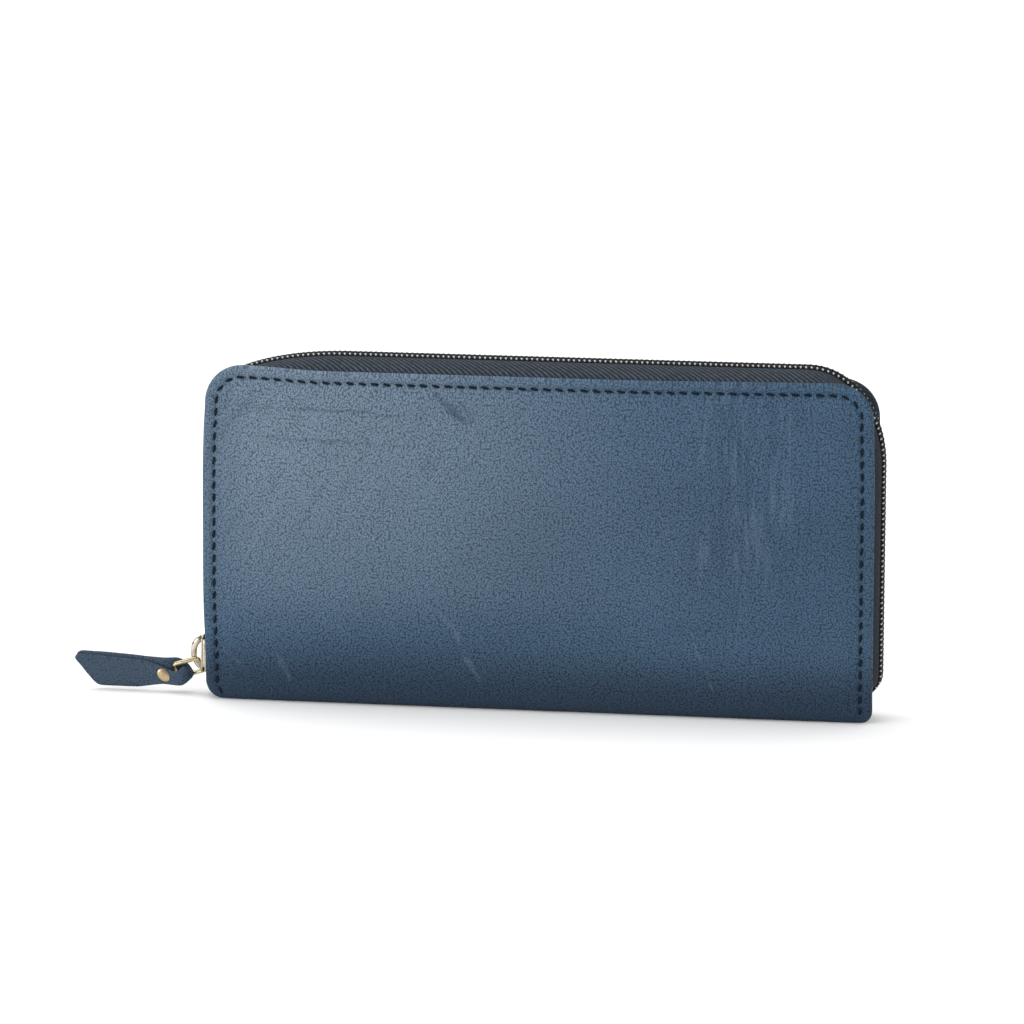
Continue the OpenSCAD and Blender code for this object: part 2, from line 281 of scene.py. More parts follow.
def useGroup(tree, group, inputs):
    node = tree.nodes.new("ShaderNodeGroup")
    node.node_tree = group
    for key, value in inputs.items():
        if isinstance(value, bpy.types.NodeSocket):
            tree.links.new(value, node.inputs[key])
        else:
            node.inputs[key].default_value = value
    return node


def newMaterial(name, roughness=0.5, metallic=0.0, specular=0.5, coat=0.0, sheen=0.0):
    material = bpy.data.materials.new(name)
    material.use_nodes = True
    tree = material.node_tree
    tree.nodes.clear()
    shader = put(tree, "ShaderNodeBsdfPrincipled", {"Roughness": roughness, "Metallic": metallic,
                 "Specular IOR Level": specular, "Coat Weight": coat, "Sheen Weight": sheen})
    put(tree, "ShaderNodeOutputMaterial", {"Surface": shader.outputs[0]})
    place = put(tree, "ShaderNodeTexCoord")
    return material, tree, shader, place


def wire(tree, socket, shader, name):
    tree.links.new(socket, shader.inputs[name])


def bumpInto(tree, shader, height, distance, strength=1.0):
    bump = put(tree, "ShaderNodeBump", {"Height": height, "Distance": distance, "Strength": strength})
    wire(tree, bump.outputs[0], shader, "Normal")


def grainGroup():
    # fine pebbled leather: small soft cells, sandy pores between them, both in height and in tone
    group, given, out = newGroup("leather_grain",
        [("Place", "NodeSocketVector", None), ("Cell", "NodeSocketFloat", 0.0008),
         ("Pores", "NodeSocketFloat", 0.5)],
        [("Height", "NodeSocketFloat"), ("Tone", "NodeSocketFloat")])
    size = calc(group, "DIVIDE", 1.0, given.outputs["Cell"])
    warp = put(group, "ShaderNodeTexNoise", {"Vector": given.outputs["Place"], "Scale": 420.0,
                                             "Detail": 2.0})
    shift = put(group, "ShaderNodeVectorMath", {0: warp.outputs["Color"], 1: (0.5, 0.5, 0.5)},
                operation="SUBTRACT")
    shift = put(group, "ShaderNodeVectorMath", {0: shift.outputs[0], 3: 0.0006}, operation="SCALE")
    bent = put(group, "ShaderNodeVectorMath", {0: given.outputs["Place"], 1: shift.outputs[0]},
               operation="ADD")
    axes = put(group, "ShaderNodeSeparateXYZ", {0: bent.outputs[0]})
    upright = calc(group, "SUBTRACT", axes.outputs[2], axes.outputs[1])
    sheet = put(group, "ShaderNodeCombineXYZ", {0: axes.outputs[0], 1: upright})
    cells = put(group, "ShaderNodeTexVoronoi", {"Vector": sheet.outputs[0], "Scale": size,
                                                "Randomness": 0.93},
                feature="F1", voronoi_dimensions="2D")
    dome = calc(group, "SUBTRACT", 1.0, calc(group, "POWER", cells.outputs["Distance"], 1.6), clamp=True)
    finer = calc(group, "MULTIPLY", size, 1.9)
    pores = put(group, "ShaderNodeTexNoise", {"Vector": given.outputs["Place"], "Scale": finer,
                                              "Detail": 2.0,
                "Roughness": 0.6})
    pore = calc(group, "SUBTRACT", pores.outputs[0], 0.5)
    height = calc(group, "ADD", dome, calc(group, "MULTIPLY", pore, given.outputs["Pores"]))
    group.links.new(height, out.inputs["Height"])
    crest = calc(group, "POWER", calc(group, "SUBTRACT", 1.0, cells.outputs["Distance"], clamp=True), 2.2)
    tone = calc(group, "MULTIPLY_ADD", pore, 0.8, calc(group, "MULTIPLY_ADD", crest, 1.8, -0.66))
    group.links.new(tone, out.inputs["Tone"])
    return group


def markGroup():
    # one soft line on the face of a panel, from a start to an end, a little wavy
    group, given, out = newGroup("leather_mark",
        [("Place", "NodeSocketVector", None), ("Start", "NodeSocketVector", None),
         ("Way", "NodeSocketVector", None), ("Width", "NodeSocketFloat", 0.0006)],
        [("Mask", "NodeSocketFloat")])
    flat = put(group, "ShaderNodeVectorMath", {0: given.outputs["Place"], 1: (1, 0, 1)},
               operation="MULTIPLY")
    ripple = put(group, "ShaderNodeTexNoise", {"Vector": flat.outputs[0], "Scale": 160.0, "Detail": 3.0})
    ripple = put(group, "ShaderNodeVectorMath", {0: ripple.outputs["Color"], 1: (0.5, 0.5, 0.5)},
                 operation="SUBTRACT")
    ripple = put(group, "ShaderNodeVectorMath", {0: ripple.outputs[0], 3: 0.004}, operation="SCALE")
    flat = put(group, "ShaderNodeVectorMath", {0: flat.outputs[0], 1: ripple.outputs[0]}, operation="ADD")
    fromStart = put(group, "ShaderNodeVectorMath", {0: flat.outputs[0], 1: given.outputs["Start"]},
                operation="SUBTRACT").outputs[0]
    reach = put(group, "ShaderNodeVectorMath", {0: fromStart, 1: given.outputs["Way"]},
                operation="DOT_PRODUCT")
    whole = put(group, "ShaderNodeVectorMath", {0: given.outputs["Way"], 1: given.outputs["Way"]},
                operation="DOT_PRODUCT")
    share = calc(group, "DIVIDE", reach.outputs["Value"], whole.outputs["Value"], clamp=True)
    nearest = put(group, "ShaderNodeVectorMath", {0: given.outputs["Way"], 3: share}, operation="SCALE")
    away = put(group, "ShaderNodeVectorMath", {0: fromStart, 1: nearest.outputs[0]}, operation="DISTANCE")
    thin = calc(group, "MULTIPLY", given.outputs["Width"],
                calc(group, "SUBTRACT", 1.15, calc(group, "ABSOLUTE", calc(group, "SUBTRACT", share, 0.5))))
    mask = calc(group, "SUBTRACT", 1.0, calc(group, "DIVIDE", away.outputs["Value"], thin), clamp=True)
    group.links.new(calc(group, "POWER", mask, 1.3), out.inputs["Mask"])
    return group


def weaveGroup():
    # twill ribs that run slantwise along a strip; Place is metres along and across it
    group, given, out = newGroup("twill",
        [("Place", "NodeSocketVector", None), ("Rib", "NodeSocketFloat", 0.0006)],
        [("Height", "NodeSocketFloat")])
    parts = put(group, "ShaderNodeSeparateXYZ", {0: given.outputs["Place"]})
    slant = calc(group, "ADD", calc(group, "MULTIPLY", parts.outputs[0], 0.62), parts.outputs[1])
    turn = calc(group, "MULTIPLY", calc(group, "DIVIDE", slant, given.outputs["Rib"]), 2 * math.pi)
    rib = calc(group, "MULTIPLY_ADD", calc(group, "SINE", turn), 0.5, 0.5)
    cross = calc(group, "SUBTRACT", parts.outputs[0], calc(group, "MULTIPLY", parts.outputs[1], 0.35))
    turn2 = calc(group, "MULTIPLY", calc(group, "DIVIDE", cross, given.outputs["Rib"]), 2 * math.pi * 1.4)
    thread = calc(group, "MULTIPLY_ADD", calc(group, "SINE", turn2), 0.5, 0.5)
    height = calc(group, "MULTIPLY", rib, calc(group, "MULTIPLY_ADD", thread, 0.45, 0.55))
    group.links.new(height, out.inputs["Height"])
    return group


grain = grainGroup()
mark = markGroup()
twill = weaveGroup()

outerLook = {
    "deep": (0.013, 0.031, 0.060, 1),
    "mid": (0.038, 0.082, 0.137, 1),
    "pale": (0.146, 0.198, 0.260, 1),
    "cell": 0.00059,
    "bump": 0.00036,
    "grit": 0.66,
    # strength of the painted shade low down by the fold
    "foot": 0.9,
    # start x, z, end x, z, width, strength; in millimetres. Above 0 is paler, below 0 is darker
    "marks": [(-86, 87, -36, 86, 0.8, -0.5), (-84, 78.5, -40, 77.5, 0.8, -0.4),
              (-29, 92, -20, 84, 1.9, -0.7),
              (-22, 90, -15, 81, 1.3, -0.45), (-27, 30, -18, 14, 1.1, 0.30), (-20, 16, -16, 9, 0.9, 0.26),
              (46, 25, 51, 12, 0.8, 0.26), (51, 13, 53, 8, 0.8, 0.22), (-76, 14, -72, 7, 1.2, 0.28),
              (-47, 36, -40, 22, 0.7, 0.15), (36, 60, 43, 46, 0.8, 0.14), (-66, 88, -66, 82, 0.8, 0.22),
              (-92, 16, -84, 9, 0.8, 0.2), (62, 40, 58, 18, 0.7, 0.14), (-74, 90, -66, 76, 0.8, -0.25)],
}


def leatherMaterial(name, look, marks=()):
    material, tree, shader, place = newMaterial(name, roughness=0.5, specular=0.24)
    where = place.outputs["Object"]
    parts = put(tree, "ShaderNodeSeparateXYZ", {0: where})
    pebbles = useGroup(tree, grain, {"Place": where, "Cell": look["cell"], "Pores": 0.55})
    cloud = put(tree, "ShaderNodeTexNoise", {"Vector": where, "Scale": 26.0, "Detail": 4.0,
                                             "Roughness": 0.55})
    tone = blendColour(tree, remap(tree, cloud.outputs[0], 0.28, 0.74, 0.72, 1.0), look["deep"],
                       look["mid"])
    # paler towards the upper left: partly a faded patch in the leather, partly painted sheen from the light
    # at the upper left; painted shade, darker down by the fold
    left = calc(tree, "MULTIPLY", calc(tree, "ADD", parts.outputs[0], 0.078), 0.62)
    high = calc(tree, "SUBTRACT", parts.outputs[2], 0.083)
    off = calc(tree, "SQRT", calc(tree, "ADD", calc(tree, "MULTIPLY", left, left),
                                  calc(tree, "MULTIPLY", high, high)))
    paleAndSheen = calc(tree, "MULTIPLY", remap(tree, parts.outputs[2], 0.018, 0.038, 0.0, 0.20),
                 remap(tree, parts.outputs[0], 0.085, -0.03))
    paleAndSheen = calc(tree, "ADD", paleAndSheen, remap(tree, off, 0.075, 0.0, 0.0, 0.53))
    paleAndSheen = calc(tree, "MULTIPLY", paleAndSheen, remap(tree, parts.outputs[0], -0.099, -0.082, 0.55, 1.0))
    tone = blendColour(tree, paleAndSheen, tone, look["pale"])
    # painted shade: darker towards the bottom, below about 23 mm, where the face turns under
    tone = blendColour(tree, remap(tree, parts.outputs[2], 0.023, 0.006, 0.0, look["foot"]), tone,
                       look["deep"])
    grit = pebbles.outputs["Tone"]
    speck = calc(tree, "MAXIMUM", calc(tree, "MULTIPLY_ADD", grit, look["grit"], 1.0), 0.2)
    tone = blendColour(tree, 1.0, tone, speck, mode="MULTIPLY")
    dents = pebbles.outputs["Height"]
    for x0, z0, x1, z1, width, strength in marks:
        line = useGroup(tree, mark, {"Place": where, "Start": (x0 * mm, 0, z0 * mm),
                        "Way": ((x1 - x0) * mm, 0, (z1 - z0) * mm), "Width": width * mm})
        amount = calc(tree, "MULTIPLY", line.outputs[0], abs(strength))
        tone = blendColour(tree, amount, tone, look["pale"] if strength > 0 else look["deep"])
        dents = calc(tree, "MULTIPLY_ADD", line.outputs[0], 0.8 * strength, dents)
    if marks:  # upright drawn wrinkles right of the middle, as on a hide's flank
        stretch = put(tree, "ShaderNodeMapping", {"Vector": where, "Scale": (1.0, 1.0, 0.12),
                      "Rotation": (0, math.radians(-7), 0)})
        flutes = put(tree, "ShaderNodeTexNoise", {"Vector": stretch.outputs[0], "Scale": 520.0,
                                                  "Detail": 2.0,
                     "Distortion": 0.6})
        side = calc(tree, "SUBTRACT", parts.outputs[0], 0.062)
        zone = remap(tree, calc(tree, "ABSOLUTE", side), 0.030, 0.006)
        zone = calc(tree, "MULTIPLY", zone, remap(tree, parts.outputs[2], 0.02, 0.05))
        fold = calc(tree, "MULTIPLY", calc(tree, "SUBTRACT", flutes.outputs[0], 0.5), zone)
        slanted = put(tree, "ShaderNodeMapping", {"Vector": where, "Rotation": (0, math.radians(-32), 0)})
        slanted = put(tree, "ShaderNodeMapping", {"Vector": slanted.outputs[0], "Scale": (1.0, 1.0, 0.16)})
        draws = put(tree, "ShaderNodeTexNoise", {"Vector": slanted.outputs[0], "Scale": 330.0,
                                                 "Detail": 2.0})
        corner = remap(tree, off, 0.075, 0.02)
        draw = calc(tree, "MULTIPLY", calc(tree, "SUBTRACT", draws.outputs[0], 0.5), corner)
        lines = calc(tree, "MULTIPLY_ADD", draw, 0.7, fold)
        dents = calc(tree, "MULTIPLY_ADD", lines, 2.2, dents)
        tone = blendColour(tree, remap(tree, lines, 0.02, 0.22, 0.0, 0.20), tone, look["pale"])
        tone = blendColour(tree, remap(tree, lines, -0.02, -0.20, 0.0, 0.26), tone, look["deep"])
    wire(tree, tone, shader, "Base Color")
    wire(tree, remap(tree, pebbles.outputs["Height"], 0.3, 1.1, 0.66, 0.46), shader, "Roughness")
    bumpInto(tree, shader, dents, look["bump"])
    return material


def fabricMaterial(name, dark, light, rib, useUv, roughness=0.85, bump=0.00015):
    material, tree, shader, place = newMaterial(name, roughness=roughness, specular=0.3)
    where = place.outputs["UV" if useUv else "Object"]
    if not useUv:  # weave on the upright faces: along X and up Z
        parts = put(tree, "ShaderNodeSeparateXYZ", {0: where})
        where = put(tree, "ShaderNodeCombineXYZ", {0: parts.outputs[0], 1: parts.outputs[2]}).outputs[0]
    ribs = useGroup(tree, twill, {"Place": where, "Rib": rib})
    fuzz = put(tree, "ShaderNodeTexNoise", {"Vector": place.outputs["Object"], "Scale": 900.0,
                                            "Detail": 2.0})
    mix = calc(tree, "MULTIPLY", ribs.outputs[0], remap(tree, fuzz.outputs[0], 0.3, 0.7, 0.6, 1.1))
    colour = blendColour(tree, mix, dark, light)
    if useUv:  # painted shade: darker at the end away from the slider, where less light falls from the left
        apart = put(tree, "ShaderNodeSeparateXYZ", {0: place.outputs["Object"]})
        colour = blendColour(tree, remap(tree, apart.outputs[0], 0.078, 0.096, 0.0, 0.75), colour, dark)
    wire(tree, colour, shader, "Base Color")
    bumpInto(tree, shader, ribs.outputs[0], bump)
    return material


def metalMaterial(name, bright, dull, roughness):
    material, tree, shader, place = newMaterial(name, roughness=roughness, metallic=1.0)
    patch = put(tree, "ShaderNodeTexNoise", {"Vector": place.outputs["Object"], "Scale": 320.0,
                                             "Detail": 4.0})
    wear = remap(tree, patch.outputs[0], 0.42, 0.68)
    wire(tree, blendColour(tree, wear, bright, dull), shader, "Base Color")
    wire(tree, remap(tree, patch.outputs[0], 0.3, 0.8, roughness * 0.75, roughness * 1.5), shader,
         "Roughness")
    fine = put(tree, "ShaderNodeTexNoise", {"Vector": place.outputs["Object"], "Scale": 2600.0,
                                            "Detail": 2.0})
    bumpInto(tree, shader, fine.outputs[0], 0.00001, 0.5)
    return material


def nylonMaterial(name, colour):
    material, tree, shader, place = newMaterial(name, roughness=0.5, specular=0.16)
    tint = put(tree, "ShaderNodeTexNoise", {"Vector": place.outputs["Object"], "Scale": 300.0,
                                            "Detail": 2.0})
    dim = tuple(channel * 0.5 for channel in colour[:3]) + (1,)
    wire(tree, blendColour(tree, tint.outputs[0], dim, colour), shader, "Base Color")
    wire(tree, remap(tree, tint.outputs[0], 0.3, 0.7, 0.42, 0.58), shader, "Roughness")
    return material


def threadMaterial(name, dark, light):
    material, tree, shader, place = newMaterial(name, roughness=0.75, specular=0.12)
    wave = put(tree, "ShaderNodeTexWave", {"Vector": place.outputs["Object"], "Scale": 700.0,
                                           "Distortion": 1.5},
               bands_direction="DIAGONAL")
    wire(tree, blendColour(tree, wave.outputs[1], dark, light), shader, "Base Color")
    bumpInto(tree, shader, wave.outputs[1], 0.00008)
    return material


outerLeather = leatherMaterial("outer_leather_blue", outerLook, outerLook["marks"])
backLeather = leatherMaterial("outer_leather_blue_back", outerLook, outerLook["marks"][7:])
tabLook = dict(outerLook, deep=(0.014, 0.023, 0.040, 1), mid=(0.033, 0.057, 0.090, 1),
               pale=(0.08, 0.11, 0.15, 1),
               cell=0.0006, bump=0.00016, grit=0.45, foot=0.0)
tabLeather = leatherMaterial("tab_leather", tabLook)
innerLook = {"deep": (0.022, 0.038, 0.062, 1), "mid": (0.048, 0.078, 0.120, 1),
             "pale": (0.09, 0.13, 0.18, 1),
             "cell": 0.0006, "bump": 0.00008, "grit": 0.4, "foot": 0.0}
innerLeather = leatherMaterial("inner_leather_navy", innerLook)
liningCloth = fabricMaterial("lining_cloth", (0.020, 0.026, 0.038, 1), (0.055, 0.068, 0.095, 1), 0.0005,
                             False)
tapeCloth = fabricMaterial("zip_tape_twill", (0.006, 0.009, 0.014, 1), (0.066, 0.086, 0.112, 1), 0.00105,
                           True)
coinTapeCloth = fabricMaterial("coin_tape_twill", (0.010, 0.012, 0.016, 1), (0.070, 0.080, 0.095, 1),
                               0.0007, False)
boardCard = fabricMaterial("stiffener_card", (0.42, 0.34, 0.25, 1), (0.62, 0.52, 0.40, 1), 0.0012, False)
coilNylon = nylonMaterial("coil_nylon", (0.010, 0.011, 0.014, 1))
nickel = metalMaterial("pale_nickel", (0.60, 0.55, 0.44, 1), (0.36, 0.32, 0.24, 1), 0.26)
goldPlate = metalMaterial("pale_gold", (0.62, 0.54, 0.34, 1), (0.36, 0.30, 0.16, 1), 0.22)
oldBrass = metalMaterial("old_brass", (0.46, 0.36, 0.21, 1), (0.30, 0.22, 0.12, 1), 0.36)
navyThread = threadMaterial("navy_thread", (0.002, 0.005, 0.010, 1), (0.009, 0.017, 0.030, 1))
# pale beads on the coil: thread, and also a painted highlight on each turn's crest
coilThreadGlint = threadMaterial("coil_thread", (0.34, 0.35, 0.36, 1), (0.60, 0.61, 0.62, 1))
print("materials made")


hide = {
    "thickness": 1.4 * mm,
    "corner": 11.0 * mm,        # top corners
    "edgeHalf": 9.7 * mm,       # half thickness of the wallet at the leather's edge
    "bodyHalf": 11.7 * mm,      # and over the body
    "crown": 0.7 * mm,          # extra swell in the middle
    "foldHeight": 12.5 * mm,    # where the face starts to turn under
    "spineHalf": 6.6 * mm,      # flat part that it stands on
    "footLeft": 5.6 * mm,       # rounding of the two lower corners
    "footRight": 3.8 * mm,
    "stitchInset": 3.5 * mm,
    "stitchPitch": 3.6 * mm,
    "stitchFoot": 2.6 * mm,     # height of the lowest stitches
    "groove": 0.50 * mm,
    "wobble": 0.20 * mm,
}


def edgeWidth(z, end):
    # how far the leather reaches towards one end (-1 left, 1 right) at a height
    z = np.asarray(z, float)
    r = hide["corner"]
    inside = np.clip(r - (panelTop - z), 0, r)
    width = halfLength - r + np.sqrt(np.maximum(r * r - inside * inside, 0))
    width = width - 0.5 * mm * smooth(0.034, 0.008, panelTop - z)
    if end < 0:
        width = width + 0.42 * mm * smooth(0.005, 0.040, z) - 0.2 * mm
        width = width + 0.36 * mm * smooth(0.012, 0.030, z) * smooth(0.092, 0.078, z)
    else:
        width = width + 0.15 * mm * smooth(0.060, 0.005, z)
    foot = hide["footLeft"] if end < 0 else hide["footRight"]
    under = np.clip(foot - z, 0, foot)
    return width - foot + np.sqrt(np.maximum(foot * foot - under * under, 0))


def edgeDistance(x, z):
    r = hide["corner"]
    level = np.clip(z, 0, panelTop - r)
    reach = np.where(x < 0, edgeWidth(level, -1), edgeWidth(level, 1))
    dx, dz = reach - np.abs(x), panelTop - z
    corner = (dx < r) & (dz < r)
    return np.where(corner, r - np.hypot(r - dx, r - dz), np.minimum(dx, dz))


def seamLine():
    # the line of the stitching on the face, as (x, z), cut to a whole number of stitches
    inset, r = hide["stitchInset"], hide["corner"]
    low, steps = hide["stitchFoot"], 90
    top = panelTop - inset
    turn = r - inset
    side = np.linspace(low, top - turn, steps)
    angles = np.radians(np.linspace(180, 90, 24)[1:-1])
    cornerX = -edgeWidth(panelTop - r, -1) + inset + turn * (1 + np.cos(angles))
    cornerZ = top - turn + turn * np.sin(angles)
    left = np.stack([-(edgeWidth(side, -1) - inset), side], -1)
    right = np.stack([edgeWidth(side, 1) - inset, side], -1)[::-1]
    middle = np.linspace(cornerX[-1], -cornerX[-1], 120)[1:-1]
    line = np.concatenate([left, np.stack([cornerX, cornerZ], -1),
                           np.stack([middle, np.full_like(middle, top)], -1),
                           np.stack([-cornerX[::-1], cornerZ[::-1]], -1), right])
    return cutLine(line, 0.0, hide["stitchPitch"])


def cutLine(line, start, pitch, spare=0.0):
    # the stretch of a line from a start that holds a whole number of pitches
    lengths = np.concatenate([[0], np.cumsum(np.linalg.norm(np.diff(line, axis=0), axis=1))])
    count = int((lengths[-1] - start - spare) / pitch)
    stop = start + count * pitch
    inside = (lengths > start) & (lengths < stop)
    ends = [[np.interp(place, lengths, line[:, k]) for k in range(line.shape[1])]
            for place in (start, stop)]
    return np.concatenate([[ends[0]], line[inside], [ends[1]]])


def spotsAlong(line, pitch):
    lengths = np.concatenate([[0], np.cumsum(np.linalg.norm(np.diff(line, axis=0), axis=1))])
    places = np.arange(0, lengths[-1] + pitch / 2, pitch)
    return np.stack([np.interp(places, lengths, line[:, k]) for k in range(line.shape[1])], -1)


stitchLine = seamLine()
stitchSpots = spotsAlong(stitchLine, hide["stitchPitch"])


def borderRelief(x, z, d):
    # rolled rim, sewn groove pulled in at each stitch, then the soft rise to the body
    rim = 1.3 * mm
    rolled = np.where(d < rim, rim - np.sqrt(np.maximum(rim ** 2 - (rim - np.clip(d, 0, rim)) ** 2, 0)), 0)
    sewn = np.abs(d - hide["stitchInset"]) < 2.2 * mm
    away = np.full(x.shape, 9 * mm)
    near = np.stack([x[sewn], z[sewn]], -1)
    for first in range(0, len(near), 4000):
        part = near[first:first + 4000]
        gaps = np.linalg.norm(part[:, None, :] - stitchSpots[None], axis=2)
        near[first:first + 4000, 0] = gaps.min(1)
    away[sewn] = near[:, 0] if len(near) else 0
    pulled = smooth(1.9 * mm, 0.9 * mm, away)
    groove = hide["groove"] * (0.30 + 0.70 * pulled) * np.exp(-((d - hide["stitchInset"]) / (0.6 * mm)) ** 2)
    puff = 0.20 * mm * np.exp(-((d - 1.9 * mm) / (0.8 * mm)) ** 2)
    lip = 0.10 * mm * (1 - pulled) * np.exp(-((d - 4.6 * mm) / (0.7 * mm)) ** 2)
    return puff + lip - 0.75 * rolled - groove


def hideRelief(x, z, side):
    d = edgeDistance(x, z)
    swell = np.zeros_like(x)
    flat = swell.reshape(-1)
    for k, (px, pz) in enumerate(zip(x.reshape(-1), z.reshape(-1))):
        where = Vector((px * 22 + 5 * side, pz * 30, side * 3.7))
        fine = Vector((px * 95, pz * 120 + 4 * side, 1.3))
        flat[k] = noise.noise(where) + 0.35 * noise.noise(fine)
    inner = smooth(3 * mm, 16 * mm, d)
    return borderRelief(x, z, d) + hide["wobble"] * swell * (0.35 + 0.65 * inner)


def hideHalf(x, z):
    # half thickness of the wallet over a point of the face
    d = edgeDistance(x, z)
    body = hide["bodyHalf"] - hide["edgeHalf"]
    rise = 0.45 * smooth(3.6 * mm, 9 * mm, d) + 0.55 * smooth(4 * mm, 34 * mm, d)
    crown = hide["crown"] * np.cos(np.clip(x / halfLength, -1, 1) * math.pi / 2) * smooth(0.10, 0.045, z)
    crown = crown * smooth(2 * mm, 30 * mm, z)
    return hide["edgeHalf"] + body * rise + crown


def settleBack(points, side):
    # the back half is drawn in at its top corners and at the foot of its ends
    if side < 0:
        return points
    x, y, z = points[..., 0], points[..., 1], points[..., 2]
    gap = np.hypot(halfLength - np.abs(x), panelTop - z)
    pull = smooth(34 * mm, 5 * mm, gap) * smooth(1 * mm, 7 * mm, y) * np.where(x < 0, 1.0, 0.35)
    foot = smooth(19 * mm, 8 * mm, z) * smooth(0, 6 * mm, y) * np.where(x < 0, 0.004, 0.040)
    return np.stack([x * (1 - 0.006 * pull - foot), y - 3.0 * mm * pull, z - 2.2 * mm * pull], -1)


def facePoint(x, z, side, relief=True, behind=0.0):
    # a point on the leather's outer face, or a little way behind it; side is -1 for the front, 1 for the back
    x, z = np.asarray(x, float), np.asarray(z, float)
    fold = hide["foldHeight"]
    half = hideHalf(x, np.maximum(z, fold)) - behind
    spine = hide["spineHalf"] - behind
    under = np.clip((fold - z) / fold, 0, 1)
    turn = np.sqrt(np.maximum(1 - under ** 2.3, 0))
    y = spine + (half - spine) * turn
    if relief:
        y = y + hideRelief(x, z, side) * smooth(0.0, 4 * mm, z) * np.maximum(turn, 0.3)
    # the upper edge sags a little between the corners, more towards the left
    sag = 1.0 * mm * smooth(-88 * mm, -62 * mm, x) * (1 - 0.75 * smooth(20 * mm, 90 * mm, x))
    z = z - sag * smooth(0.45 * panelTop, panelTop, z)
    return settleBack(np.stack([x, side * y, z], -1), side)


def fromEdge(limit, inner):
    # distances from an edge: close together at the border, wider inside
    steps = [0, 0.12, 0.3, 0.52, 0.8, 1.1, 1.4, 1.7, 2.0, 2.3, 2.6, 2.9, 3.2, 3.5, 3.8, 4.1, 4.4, 4.8,
             5.3, 5.9]
    values = [step * mm for step in steps]
    while values[-1] + inner < limit:
        values.append(values[-1] + inner)
    return values


def hideRow(across, z, side):
    left, right = edgeWidth(z, -1), edgeWidth(z, 1)
    x = np.where(across < 0, across * left, across * right)
    return facePoint(x, np.full_like(x, z), side)


def hideGrid(side):
    inner = hide["stitchPitch"] / 4
    across = fromEdge(halfLength, inner)
    across = np.array([value / halfLength for value in across if value < halfLength - inner / 2] + [1.0])
    across = np.concatenate([-(1 - across), (1 - across[::-1])[1:]])
    heights = [panelTop - value for value in fromEdge(panelTop - hide["foldHeight"], inner)]
    heights.append(hide["foldHeight"])
    rows = [hideRow(across, z, side) for z in reversed(heights)]
    fold = []
    for step in range(1, 27):
        z = hide["foldHeight"] * (1 - math.sin(math.pi / 2 * step / 26))
        fold.append(hideRow(across, z, side))
    spine = []
    foot = fold[-1]
    middle = across * np.where(across < 0, edgeWidth(0.0, -1), 0.98 * edgeWidth(0.0, 1))
    for step in range(1, 7):
        row = foot.copy()
        share = step / 6
        row[:, 0] = foot[:, 0] + (middle - foot[:, 0]) * smooth(0, 1, share)
        row[:, 1] = foot[:, 1] * (1 - share)
        spine.append(row)
    return np.stack(list(reversed(spine)) + list(reversed(fold)) + rows)


def makeHide(side, name, material):
    grid = hideGrid(side)
    piece = gridPiece(name, grid, material, flip=side > 0)
    thicken(piece, hide["thickness"])
    return piece


def bendOverSpine(piece):
    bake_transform(piece)


frontHide = makeHide(-1, "outer_leather_front", outerLeather)
backHide = makeHide(1, "outer_leather_back", backLeather)
for piece, side in ((frontHide, -1), (backHide, 1)):
    bendOverSpine(piece)
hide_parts("front_leather", "spine_leather")
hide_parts("back_leather")
print("outer leather made")


def backingSheet(name, side, inset, foot, behind, thickness, body, material):
    xs = np.linspace(-1, 1, 131)
    zs = np.linspace(foot, panelTop - inset, 61)
    grid = []
    for z in zs:
        r = max(hide["corner"] - inset, 4 * mm)
        drop = max(0.0, r - (panelTop - inset - z))
        width = halfLength - 0.5 * mm - inset - r + math.sqrt(max(r * r - drop * drop, 0))
        grid.append(facePoint(xs * width, np.full(len(xs), z), side, relief=False, behind=behind))
    piece = gridPiece(name + "_sheet", np.stack(grid), material, flip=side > 0)
    thicken(piece, thickness)
    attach(piece, body)
    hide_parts(name)


for label, side, body in (("front", -1, frontBody), ("back", 1, backBody)):
    backingSheet(label + "_stiffener", side, 7.5 * mm, 10 * mm, 1.45 * mm, 0.6 * mm, body,
                 boardCard)
    backingSheet(label + "_lining", side, 2.2 * mm, 7.5 * mm, 2.2 * mm, 0.45 * mm, body,
                 liningCloth)
print("backing made")


def resample(line, count):
    line = np.asarray(line, float)
    lengths = np.concatenate([[0], np.cumsum(np.linalg.norm(np.diff(line, axis=0), axis=1))])
    places = np.linspace(0, lengths[-1], count)
    return np.stack([np.interp(places, lengths, line[:, k]) for k in range(2)], -1)


def archLine(halfWidth, top, leftCorner, rightCorner, foot):
    # up the left end, over the top and down the right end
    # each corner is (half width, height) of a quarter ellipse
    turn = np.radians(np.linspace(0, 90, 40))
    leftX, leftZ = leftCorner
    rightX, rightZ = rightCorner
    left = np.array([(-halfWidth, foot), (-halfWidth, top - leftZ)])
    over = np.stack([-halfWidth + leftX * (1 - np.cos(turn)), top - leftZ * (1 - np.sin(turn))], -1)
    down = np.stack([halfWidth - rightX * (1 - np.sin(turn)), top - rightZ * (1 - np.cos(turn))], -1)
    right = np.array([(halfWidth, top - rightZ), (halfWidth, foot)])
    return np.concatenate([left[:1], over, down, right[1:]])


def matched(line, counts, breaks):
    # the same number of points in each of five stretches, so that two such lines can be joined across
    leftZ, leftX, rightX, rightZ = breaks
    dense = resample(line, 4000)
    places = [0, int(np.argmax(dense[:, 1] >= leftZ)), int(np.argmax(dense[:, 0] >= leftX)),
              int(np.argmax(dense[:, 0] >= rightX))]
    later = np.arange(4000) > places[3]
    places.append(int(np.argmax(later & (dense[:, 1] <= rightZ))))
    places.append(3999)
    parts = [resample(dense[a:b + 1], count + 1)[:-1] for a, b, count in zip(places, places[1:], counts)]
    return np.concatenate(parts + [dense[-1:]])


